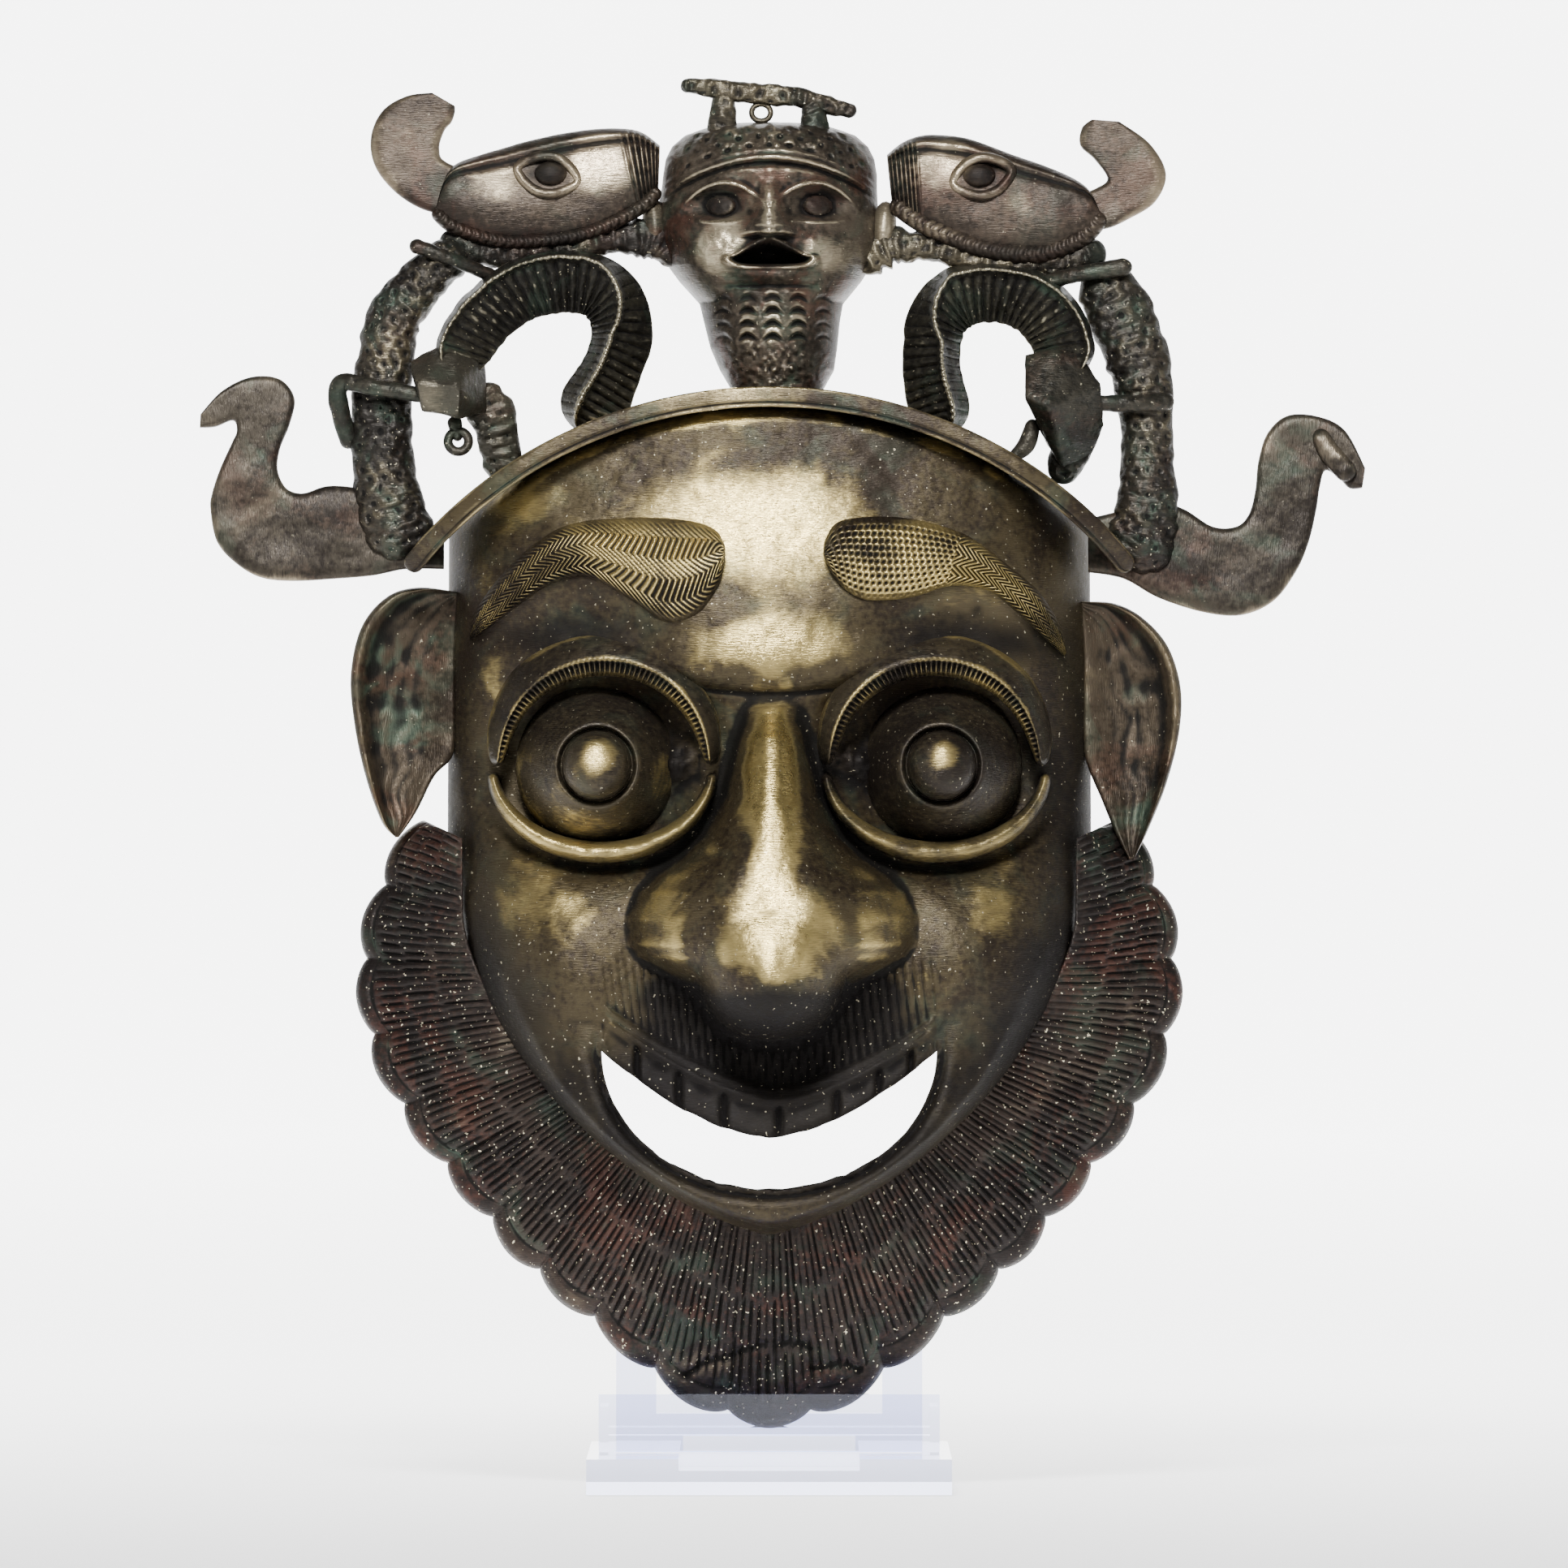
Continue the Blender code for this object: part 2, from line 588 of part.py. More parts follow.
def build_birds():
    """The two bird heads beside the small head, with a rope edge below."""
    left = [(-105, 401), (-99, 414), (-85, 420), (-63, 425), (-46, 427), (-35, 421), (-36, 408),
            (-44, 399), (-60, 392), (-80, 390), (-97, 393)]
    right = [(103, 400), (95, 411), (77, 418), (63, 423), (48, 424), (38, 418), (39, 403), (54, 394),
             (70, 387), (84, 385), (96, 390)]
    curl_left = [(-100, 414), (-104, 420), (-102, 427), (-100, 434), (-107, 438), (-116, 436),
                 (-124, 429), (-125, 418), (-119, 407), (-108, 400), (-97, 400)]
    curl_right = [(98, 405), (105, 410), (102, 417), (97, 423), (100, 429), (108, 428), (118, 423),
                  (125, 412), (121, 402), (111, 396), (98, 394)]
    parts = []
    for name, outline, curl, eye in (("left_bird", left, curl_left, (-69, 414)),
                                     ("right_bird", right, curl_right, (65, 412.5))):
        parts.append(plate(name, outline, CREST_DEPTH - 2.3, 6.5, 6.0))
        parts.append(plate(name + "_curl", curl, CREST_DEPTH - 0.9, PLATE_UNITS))
        parts.append(turned(name + "_eye", eye, [(4, 24), (4, 33.5), (2, 35.5)], 8))
    return parts


def build_brackets():
    """The rough bar under each bird head, from the upright to the small head."""
    section = [(-1, -4.4), (-1, 3.3), (0, 5.5), (1, 3.3), (1, -4.4)]
    left = np.array([(-104, 391, 5), (-88, 387, 4.5), (-68, 388, 4), (-50, 391, 4.5), (-36, 391, 6),
                     (-26, 384, 7)])
    right = np.array([(106, 388, 5), (90, 384, 4.5), (70, 384, 4), (52, 388, 4.5), (38, 389, 6),
                      (27, 382, 7)])
    parts = []
    for name, line in (("left_bracket", left), ("right_bracket", right)):
        path = [(x, CREST_DEPTH, z) for x, z, w in line]
        parts.append(sweep(name, path, line[:, 2], section))
    return parts


def half_ring(x, z, half, front, back):
    """A level slice of the small head: round in front, flat behind."""
    ring = [(x + half * math.cos(a), back + (front - back) * math.sin(a) ** 0.8, z)
            for a in np.linspace(0, math.pi, 11)]
    return ring


def build_small_head():
    back = CREST_DEPTH - 10
    levels = [(0.5, 334, 13, 36), (1.5, 345, 14, 38), (0, 358, 18, 42), (0, 372, 22, 44), (0, 383, 28, 46),
              (0, 395, 32, 47), (0, 406, 33.5, 46), (0, 408, 35.5, 49), (0, 417, 34, 48), (0, 425, 24, 41),
              (0, 428, 14, 34)]
    parts = [loft("small_head", [half_ring(x, z, half, front, back) for x, z, half, front in levels])]
    bridge = [(0.3, 44, 408), (0.3, 47, 401), (0.3, 50, 394), (0.3, 49, 390)]
    parts.append(sweep("small_nose", bridge, (2.2, 3, 5.5, 4.5), [(-1, -4), (-0.4, 4), (0.4, 4), (1, -4)]))
    for side in (-1, 1):
        parts.append(ball("small_eye", (side * 15, 40.5, 401.5), (7.5, 6, 4), 8, 4))
        parts.append(ball("small_ear", (side * 36, CREST_DEPTH, 396), (4, 6, 8), 6, 4))
    return parts


def build_small_mouth():
    return ball("small_mouth", (0.5, 50, 386), (10.5, 12, 3.6), 8, 6)


def build_handle():
    """The hanging loop on the crown: a bar on two posts."""
    high = CREST_DEPTH + 7
    bar = [(-30, high, 438), (-20, high, 440), (0, high, 438.5), (19, high, 434.5), (29, high, 431.5)]
    parts = [sweep("handle_bar", bar, (2.2, 2.8, 2.7, 2.7, 2.0), [(-1, -3), (-1, 3), (1, 3), (1, -3)])]
    posts = (((-17, 438.5), (-15.5, 431), (-13, 422)), ((12, 436.5), (16, 430), (17, 419)))
    for post in posts:
        path = [(x, high, z) for x, z in post]
        parts.append(sweep("handle_post", path, (3.0, 3.4, 4.6), [(-1, -4), (-1, 4), (1, 4), (1, -4)]))
    return parts


def build_mask(bronze):
    body = build_face()
    body.name = "mask"
    joined = build_brim() + build_lips() + build_teeth() + [build_beard()]
    for side in (-1, 1):
        joined += build_eye(side)
        joined.append(build_brow(side))
    joined += build_ears() + build_horns() + build_columns() + build_serpents() + build_rods()
    joined += build_birds() + build_brackets() + build_small_head() + build_handle()
    combine(body, "UNION", joined)
    combine(body, "DIFFERENCE", build_hollow() + [build_mouth_opening(), build_small_mouth()] + build_nostrils())
    body.data.materials.append(bronze)
    return body


def build_base(clear):
    """Easel base: a flat foot, thicker at its sides, with a raised tray and a front lip."""
    front = -BASE_FRONT
    half = BASE_WIDTH / 2
    lip_half = LIP_WIDTH / 2
    profile = [(-half, 0), (half, 0), (half, FOOT_HEIGHT), (half - FOOT_WIDTH, FOOT_HEIGHT),
               (half - FOOT_WIDTH, DECK_THICKNESS), (-half + FOOT_WIDTH, DECK_THICKNESS),
               (-half + FOOT_WIDTH, FOOT_HEIGHT), (-half, FOOT_HEIGHT)]
    points = [(x, y, z) for y in (front, front + BASE_DEPTH) for x, z in profile]
    count = len(profile)
    faces = loop_side(range(count), range(count, 2 * count))
    faces += [tuple(range(count)), tuple(range(count, 2 * count))]
    body = solid("stand_base", points, faces)
    low = DECK_THICKNESS - STEP
    lip_front = -TRAY_DEPTH - LIP_THICKNESS
    parts = [box("lip", (-lip_half, lip_front, low), (lip_half, -TRAY_DEPTH, LIP_TOP))]
    parts.append(box("tray", (-lip_half + STEP, -TRAY_DEPTH - STEP, TRAY_TOP - TRAY_THICKNESS),
                     (lip_half - STEP, back_line(TRAY_TOP - TRAY_THICKNESS), TRAY_TOP)))
    for side in (-1, 1):
        inner = side * (lip_half - LIP_THICKNESS)
        outer = side * (lip_half - STEP / 2)
        parts.append(box("tray_side", (min(inner, outer), -TRAY_DEPTH - STEP, low),
                         (max(inner, outer), TRAY_DEPTH, LIP_TOP - 8 * STEP)))
    combine(body, "UNION", parts)
    window = box("window", (-WINDOW_WIDTH / 2, lip_front - STEP, WINDOW_LOW),
                 (WINDOW_WIDTH / 2, -TRAY_DEPTH + STEP, TRAY_TOP - TRAY_THICKNESS))
    combine(body, "DIFFERENCE", [window])
    body.data.materials.append(clear)
    return body


def back_line(height):
    """How far back the mask's back plane is at a height, in metres."""
    return (height - TIP_HEIGHT) * LEAN_SLOPE


def slab(name, half, low, high, margin):
    """A leaning slab behind the mask's back plane, or its cutter with a margin."""
    points = []
    for x in (-half, half):
        for height in (low, high):
            for back in (GAP - margin, GAP + BACK_THICKNESS + margin):
                points.append((x, back_line(height) + back, height))
    faces = [(0, 1, 3, 2), (4, 6, 7, 5), (0, 4, 5, 1), (2, 3, 7, 6), (0, 2, 6, 4), (1, 5, 7, 3)]
    return solid(name, points, faces)


def build_back(clear):
    """Easel back: two leaning arms joined by a foot rail and a head rail."""
    low = FOOT_HEIGHT + GAP
    body = slab("stand_back", (ARM_SPACING + ARM_WIDTH) / 2, low, ARM_TOP, 0.0)
    middle = slab("between_arms", (ARM_SPACING - ARM_WIDTH) / 2, low + RAIL_HEIGHT, ARM_TOP - RAIL_HEIGHT, STEP)
    combine(body, "DIFFERENCE", [middle])
    body.data.materials.append(clear)
    return body


def main():
    clear_scene()
    bronze = material("patinated_bronze", (0.11, 0.085, 0.055), 0.42, 0.85)
    clear = material("clear_plastic", (0.93, 0.95, 0.97), 0.05, 0.0, 0.3)
    build_mask(bronze)
    build_base(clear)
    build_back(clear)


main()
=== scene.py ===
"""Dressed model of a cast bronze crest mask on a clear two-part easel.

The carving is laid out in carving units, one thousandth of a metre, as x
(right), depth (forward from the back plane) and z (up); the mask leans back.
"""
import math

import bmesh
import bpy
import numpy as np
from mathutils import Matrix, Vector


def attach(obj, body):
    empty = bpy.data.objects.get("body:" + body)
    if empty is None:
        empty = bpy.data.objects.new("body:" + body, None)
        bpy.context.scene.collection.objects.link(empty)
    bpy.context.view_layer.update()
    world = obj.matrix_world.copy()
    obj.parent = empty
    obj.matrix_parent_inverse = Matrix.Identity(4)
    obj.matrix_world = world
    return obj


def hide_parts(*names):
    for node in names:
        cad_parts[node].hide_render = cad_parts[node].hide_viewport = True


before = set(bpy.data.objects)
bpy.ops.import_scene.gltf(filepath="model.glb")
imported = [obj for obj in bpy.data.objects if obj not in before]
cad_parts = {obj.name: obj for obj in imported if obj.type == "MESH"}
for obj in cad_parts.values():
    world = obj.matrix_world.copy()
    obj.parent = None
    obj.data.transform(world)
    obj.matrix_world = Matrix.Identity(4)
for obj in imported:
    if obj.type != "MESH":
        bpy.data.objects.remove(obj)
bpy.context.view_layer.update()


# The face: one thin bronze casting with a hollow back, its mouth cut right
# through. Forehead, cheeks, nose, lips and teeth are modelled in the wax.
UNIT = 0.001
TIP = 20.0
TIP_HEIGHT = 0.0199
LEAN_SLOPE = math.tan(math.radians(10.0))
WALL = 4.0
CHEEK = 101.0
CHEEK_LOW = 180.0
CHIN = 78.0
CROWN_RADIUS = 148.0
CROWN_CENTRE = 195.0
EYE_X = 53.5
EYE_Z = 224.0
MOUTH_HALF = 52.0
MOUTH_CORNER = 137.0
TEETH_LOW = 110.4
MOUTH_LOW = 94.4
TEETH_GAPS = (-52, -41, -28, -14, 3, 21, 34, 44, 52)
NOSE_MIDDLE = 0.8
NOSE_FOOT = 46.0
WING_LEVEL = 176
NOSE_LEVELS = (140, 142, 150, 157, 162, 166, 170, 178, 186, 191, 197, 203, 216, 230, 239, 247)
NOSE_HALF = (8, 15, 21, 27, 36, 43, 46, 46, 42, 37, 29, 23, 16, 12.5, 10, 9)
BRIDGE_LEVELS = (WING_LEVEL, 183, 190, 205, 220, 234, 243, 249, 258)
BRIDGE_HEIGHT = (89, 88, 86, 81, 74, 66, 58, 46, 0)
STROKE_PITCH = 2.6


def place(x, depth, z):
    """Points in metres of carving points: each rises and leans back with z."""
    rise = (z - TIP) * UNIT
    back = rise * LEAN_SLOPE - depth * UNIT
    return np.stack(np.broadcast_arrays(x * UNIT, back, rise + TIP_HEIGHT), axis=-1).reshape(-1, 3)


def rough(x, y, z, size):
    """Smooth random heights from -1 to 1: lattice values of the given size, blended by a cubic step."""
    spot = np.stack(np.broadcast_arrays(x, y, z), axis=-1) / size
    cell = np.floor(spot).astype(np.int64)
    part = spot - cell
    part = part * part * (3.0 - 2.0 * part)
    total = 0.0
    for corner in np.ndindex(2, 2, 2):
        at = cell + np.array(corner)
        mixed = (at[..., 0] * 73856093) ^ (at[..., 1] * 19349663) ^ (at[..., 2] * 83492791)
        mixed = (mixed ^ (mixed >> 13)) * 1274126177
        height = ((mixed ^ (mixed >> 16)) & 65535) / 32767.5 - 1.0
        share = np.prod(np.where(np.array(corner) == 1, part, 1.0 - part), axis=-1)
        total = total + height * share
    return total


def bell(value, width):
    """Bell curve: one at zero, fading over the width."""
    return np.exp(-(value / width) ** 2)


def rise_past(value, edge, softness):
    """Smooth step from 0 to 1 as the value passes the edge."""
    return 1.0 / (1.0 + np.exp(-np.clip((value - edge) / softness, -40, 40)))


def arch(share):
    """Quarter-round rise from 0 to 1, level from there on."""
    return np.sqrt(1.0 - (1.0 - np.clip(share, 0.0, 1.0)) ** 2)


def merge(first, second, blend):
    """The greater of two depths, with a soft hollow between them."""
    share = np.clip(0.5 + 0.5 * (first - second) / blend, 0.0, 1.0)
    return second + (first - second) * share + blend * share * (1.0 - share)


def dome(x, z, centre, radii, low, high):
    """An egg's front: low at its rim, high at its middle, nothing outside."""
    inside = np.clip(1 - ((x - centre[0]) / radii[0]) ** 2 - ((z - centre[1]) / radii[1]) ** 2, 0, 1)
    return np.where(inside > 0, low + (high - low) * np.sqrt(inside), 0.0)


def jaw(x):
    """Height of the jaw line at x, a blunt curve from cheek to cheek."""
    share = np.clip(np.abs(x) / CHEEK, 0.0, 1.0)
    return CHEEK_LOW - (CHEEK_LOW - CHIN) * (1.0 - share ** (1 / 0.72)) ** (1 / 1.6)


def crown(x):
    """Height of the forehead's top edge at x, part of a circle."""
    return CROWN_CENTRE + np.sqrt(np.maximum(CROWN_RADIUS ** 2 - x ** 2, 0.0))


def teeth_edge(x):
    """Lower edge of the teeth, a smile that ends at the mouth's corners, slightly chipped."""
    edge = TEETH_LOW + (MOUTH_CORNER - TEETH_LOW) * (np.abs(x) / MOUTH_HALF) ** 1.7
    return edge + 0.25 * rough(x, 0, 0, 3.0) * np.clip((MOUTH_HALF - np.abs(x)) / 3, 0, 1)


def lip_edge(x):
    """Lower edge of the mouth's opening, half an ellipse with a ragged rim."""
    edge = MOUTH_CORNER - (MOUTH_CORNER - MOUTH_LOW) * np.sqrt(np.maximum(1 - (x / MOUTH_HALF) ** 2, 0.0))
    ragged = 0.5 * rough(x, 0, 4, 2.6) + 0.3 * rough(x, 0, 9, 1.2)
    return edge + ragged * np.clip((MOUTH_HALF - np.abs(x)) / 4, 0, 1)


def lip_line(x):
    """The upper lip's ridge, a drawn-out V."""
    return 122.9 + 0.0537 * np.abs(x - 2.5) ** 1.55


def nose(x, z):
    """The nose: one broad swell, narrow at the root and wide at the wings, with a ball tip.

    Level by level it is a flat-topped arch of the half width and height that the tables give; below the
    wings' height the top follows a quarter ellipse down to the lip.
    """
    across = np.abs(x - NOSE_MIDDLE)
    half = np.interp(z, NOSE_LEVELS, NOSE_HALF)
    above = np.interp(z, BRIDGE_LEVELS, BRIDGE_HEIGHT)
    under = np.sqrt(np.clip(1 - ((WING_LEVEL - z) / 36) ** 2, 0, 1))
    under = NOSE_FOOT + (BRIDGE_HEIGHT[0] - NOSE_FOOT) * under - 3 * np.clip(140 - z, 0, 60)
    fall = np.where(z < WING_LEVEL, under, above)
    low = np.minimum(fall, NOSE_FOOT)
    share = across / half
    bend = np.interp(z, [150, 172, 200, 240], [2.4, 2.8, 2.5, 2.2])
    body = low + (fall - low) * np.clip(1 - share ** bend, 0, 1) ** 0.8 - 60.0 * np.clip(share - 1, 0, 1)
    crease = bell(across - 23.5, 5.0) * bell(z - 172, 15)
    return merge(body - 1.9 * crease, dome(x, z, (NOSE_MIDDLE, 162), (23, 22), 60, 92), 12.0)


def plain_face(x, z):
    """The face without nose and lips: a shallow vault with sockets, cheeks and a brow fold."""
    front = 53.0 - 8.0 * (x / 70.0) ** 2 + 4.0 * bell(z - 290, 40)
    front = front + 8.0 * rise_past(z, 249, 2.5) * np.exp(-(x / 70) ** 4) * bell(z - 262, 30)
    for side in (-1, 1):
        away = ((x - side * EYE_X) / 35) ** 2 + ((z - EYE_Z - 1) / 34) ** 2
        front = front - 14.0 * np.exp(-away ** 2)
        front = front + 9.0 * bell(x - side * 62, 27) * bell(z - 166, 25)
        front = front - 5.5 * bell(x - side * 60, 30) * bell(z - 271 + 0.004 * (x - side * 54) ** 2, 8)
    front = front - 7.0 * bell(x, 48) * bell(z - 140, 22)
    edge = arch((CHEEK - np.abs(x)) / 35) * arch((z - jaw(x)) / (7 + 23 * rise_past(np.abs(x), 75, 7)))
    edge = edge * arch((crown(x) - z) / 10)
    return 2.0 + (front - 2.0) * edge


def lips_and_teeth(x, z):
    """What the mouth adds: moustache strokes, a double upper lip, eight teeth and a rolled lower lip."""
    inside = rise_past(MOUTH_HALF - np.abs(x), 1.5, 0.8)
    above = z - lip_line(x)
    clear = rise_past(plain_face(x, z) + 2 - nose(x, z), 0, 1.5)
    strokes = 0.5 + 0.5 * np.cos(2 * math.pi * (x + 0.12 * above) / STROKE_PITCH)
    zone = rise_past(above, 4.0, 0.8) * rise_past(163 - z, 0, 2.0) * np.exp(-((x - 4) / 46) ** 4) * clear
    add = -1.3 * strokes ** 2 * zone
    add = add + inside * (1.2 * bell(above - 1.6, 1.3) + 2.0 * bell(above + 1.6, 1.8))
    gap = np.min(np.abs(np.asarray(x)[..., None] - np.array(TEETH_GAPS, float)), axis=-1)
    band = rise_past(-above, 3.2, 0.4) * rise_past(z, teeth_edge(x) - 1, 0.5) * inside
    add = add + band * (0.4 - 2.4 * bell(gap, 0.8) - 0.8 * bell(z - teeth_edge(x), 1.0))
    ring = (np.sqrt((x / 57) ** 2 + ((138 - z) / 48.6) ** 2) - 1) * 52
    lower = arch((MOUTH_CORNER + 9 - z) / 34) ** 2 * rise_past(ring, -8, 0.6)
    rolled = 4.4 * bell(ring - 0.4, 5.2) + bell(ring + 5.0, 1.6) * (1.6 + 1.2 * rough(x, 3, z, 1.6))
    rolled = rolled - 1.0 * bell(ring + 3.0, 0.9) - 1.8 * bell(ring - 7.8, 1.9) * rise_past(116 - z, 0, 4)
    return add + lower * rolled


def face_front(x, z):
    """The whole front, with the crease over the nose root, pebbled eye corners and an uneven skin."""
    depth = merge(plain_face(x, z), nose(x, z), 7.0) + lips_and_teeth(x, z)
    depth = depth - 1.0 * bell(z - 247.5 - 0.004 * x ** 2, 1.0) * rise_past(24 - np.abs(x), 0, 3)
    for side in (-1, 1):
        out = (x - side * 30.0) * side
        corner = bell(out, 8.0) * bell(z - 226.0 + 0.25 * out, 5.5 + 0.12 * np.clip(out + 8, 0, 30))
        depth = depth + corner * (6.0 + 1.2 * rough(x, 11, z, 1.8) + 0.8 * rough(x, 12, z, 3.1))
        groove = np.sqrt(((x - side * 52) / 40.5) ** 2 + ((z - 226) / 33.0) ** 2) - 1
        depth = depth - 1.8 * bell(groove * 36, 3.2) * rise_past(228 - z, 0, 4)
    edge = np.clip((z - jaw(x)) / 6, 0, 1) * np.clip((crown(x) - z) / 6, 0, 1)
    edge = edge * np.clip((CHEEK - np.abs(x)) / 8, 0, 1)
    skin = 0.45 * rough(x, 0, z, 13.0) + 0.22 * rough(x, 5, z, 5.0) + 0.07 * rough(x, 8, z, 2.0)
    return depth + edge * skin


def face_back(x, z):
    """The hollow's surface: the plain face worn back by the wall everywhere, with a pocket for the nose."""
    lowest = plain_face(x, z)
    for turn in np.linspace(0, 2 * math.pi, 12, endpoint=False):
        near_x = x + WALL * math.cos(turn)
        near_z = z + WALL * math.sin(turn)
        inside = (np.abs(near_x) < CHEEK) & (near_z > jaw(near_x)) & (near_z < crown(near_x))
        lowest = np.minimum(lowest, np.where(inside, plain_face(near_x, near_z), 0.0))
    return np.maximum(np.maximum(lowest - WALL, dome(x, z, (0, 174), (13, 20), 46, 84)), 0.0)


def grid_quads(rows, columns, first=0, wrap=False):
    """Quads of a grid of point numbers, row by row; wrap joins the last column to the first."""
    number = first + np.arange(rows * columns).reshape(rows, columns)
    if wrap:
        number = np.concatenate([number, number[:, :1]], axis=1)
    corners = [number[:-1, :-1], number[:-1, 1:], number[1:, 1:], number[1:, :-1]]
    return np.stack(corners, axis=-1).reshape(-1, 4)


WELD = 2e-6


def tidy_mesh(mesh):
    """Welds touching points, drops flat faces and turns the faces outwards."""
    work = bmesh.new()
    work.from_mesh(mesh)
    bmesh.ops.remove_doubles(work, verts=work.verts, dist=WELD)
    bmesh.ops.dissolve_degenerate(work, edges=work.edges, dist=WELD)
    bmesh.ops.recalc_face_normals(work, faces=work.faces)
    work.to_mesh(mesh)
    work.free()


def set_mark(mesh, name, values):
    """Stores one number for each point of the mesh, for its material to read."""
    mesh.attributes.new(name, "FLOAT", "POINT").data.foreach_set("value", values.astype(np.float32))


def mark_relief(mesh, shine, shade_spots, rounds=14):
    """Attributes for the patina and for painted shade: proud, rubbed and a mark of painted shade.

    proud is how far, in millimetres, each point stands out of the surface smoothed by its neighbours; rubbed
    adds up the worn shine spots, in front only, and the third mark adds up the spots of painted shade,
    darkness laid where shadow falls, each spot (x, z, reach_x, reach_z, strength).
    """
    count = len(mesh.vertices)
    edges = np.empty(len(mesh.edges) * 2, np.int64)
    mesh.edges.foreach_get("vertices", edges)
    edges = edges.reshape(-1, 2)
    spots = np.empty(count * 3)
    mesh.vertices.foreach_get("co", spots)
    spots = spots.reshape(-1, 3)
    normals = np.empty(count * 3)
    mesh.vertex_normals.foreach_get("vector", normals)
    normals = normals.reshape(-1, 3)
    ends = np.concatenate([edges[:, 0], edges[:, 1]])
    others = np.concatenate([edges[:, 1], edges[:, 0]])
    near = np.maximum(np.bincount(ends, minlength=count), 1)
    smooth = spots
    for _ in range(rounds):
        sums = [np.bincount(ends, smooth[others, k], count) for k in range(3)]
        smooth = 0.4 * smooth + 0.6 * np.stack(sums, axis=1) / near[:, None]
    proud = ((spots - smooth) * normals).sum(axis=1) / UNIT
    facing = np.clip(0.3 - 1.5 * normals[:, 1], 0, 1)
    set_mark(mesh, "proud", np.where(proud > 0, proud * facing, proud))
    x = spots[:, 0] / UNIT
    z = TIP + (spots[:, 2] - TIP_HEIGHT) / UNIT
    # rubbed holds worn shine, in front only; the second mark holds painted shade, dark spots where shadow
    # falls.
    for name, places, share in (("rubbed", shine, facing), ("painted_shade", shade_spots, 1.0)):
        total = np.zeros(count)
        for middle_x, middle_z, reach_x, reach_z, strength in places:
            close = np.clip((1 - np.hypot((x - middle_x) / reach_x, (z - middle_z) / reach_z)) / 0.85, 0, 1)
            total += strength * close * close * (3 - 2 * close)
        set_mark(mesh, name, total * share)


# The worn shine spots and the painted shade spots of each bronze by its name: bronze() notes them and
# cast() marks them on the piece.
TOUCHED = {}


def cast(name, bodies, material, sharp=None):
    """A bronze piece from bodies, each its points in metres and its lists of equal-sided faces."""
    points = np.concatenate([body[0] for body in bodies])
    faces = []
    first = 0
    for spots, lists in bodies:
        faces += [np.asarray(group) + first for group in lists]
        first += len(spots)
    corners = np.concatenate([group.ravel() for group in faces])
    sides = np.concatenate([np.full(len(group), group.shape[1]) for group in faces])
    mesh = bpy.data.meshes.new(name)
    mesh.vertices.add(len(points))
    mesh.vertices.foreach_set("co", points.astype(np.float32).ravel())
    mesh.loops.add(len(corners))
    mesh.loops.foreach_set("vertex_index", corners.astype(np.int32))
    mesh.polygons.add(len(sides))
    mesh.polygons.foreach_set("loop_start", (np.cumsum(sides) - sides).astype(np.int32))
    mesh.update(calc_edges=True)
    tidy_mesh(mesh)
    mesh.polygons.foreach_set("use_smooth", np.ones(len(mesh.polygons), bool))
    if sharp:
        mesh.set_sharp_from_angle(angle=math.radians(sharp))
    mark_relief(mesh, *TOUCHED[material.name])
    mesh.materials.append(material)
    made = bpy.data.objects.new(name, mesh)
    bpy.context.scene.collection.objects.link(made)
    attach(made, "root")
    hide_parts("mask")


class Flow:
    """A shader socket that adds, multiplies and so on like a number."""

    def __init__(self, tree, socket):
        self.tree = tree
        self.socket = socket

    def _math(self, operation, first, second):
        """A Math node on two flows or numbers."""
        node = self.tree.nodes.new("ShaderNodeMath")
        node.operation = operation
        for slot, value in enumerate((first, second)):
            join(self.tree, node.inputs[slot], value)
        return Flow(self.tree, node.outputs[0])

    def __add__(self, other):
        return self._math("ADD", self, other)

    def __radd__(self, other):
        return self._math("ADD", other, self)

    def __sub__(self, other):
        return self._math("SUBTRACT", self, other)

    def __rsub__(self, other):
        return self._math("SUBTRACT", other, self)

    def __mul__(self, other):
        return self._math("MULTIPLY", self, other)

    def __rmul__(self, other):
        return self._math("MULTIPLY", other, self)


def join(tree, socket, value):
    """Links a flow to a socket, or sets a plain value on it."""
    if isinstance(value, Flow):
        tree.links.new(value.socket, socket)
    elif isinstance(value, (tuple, list)) and len(value) == 3 and socket.type == "RGBA":
        socket.default_value = (*value, 1.0)
    else:
        socket.default_value = value


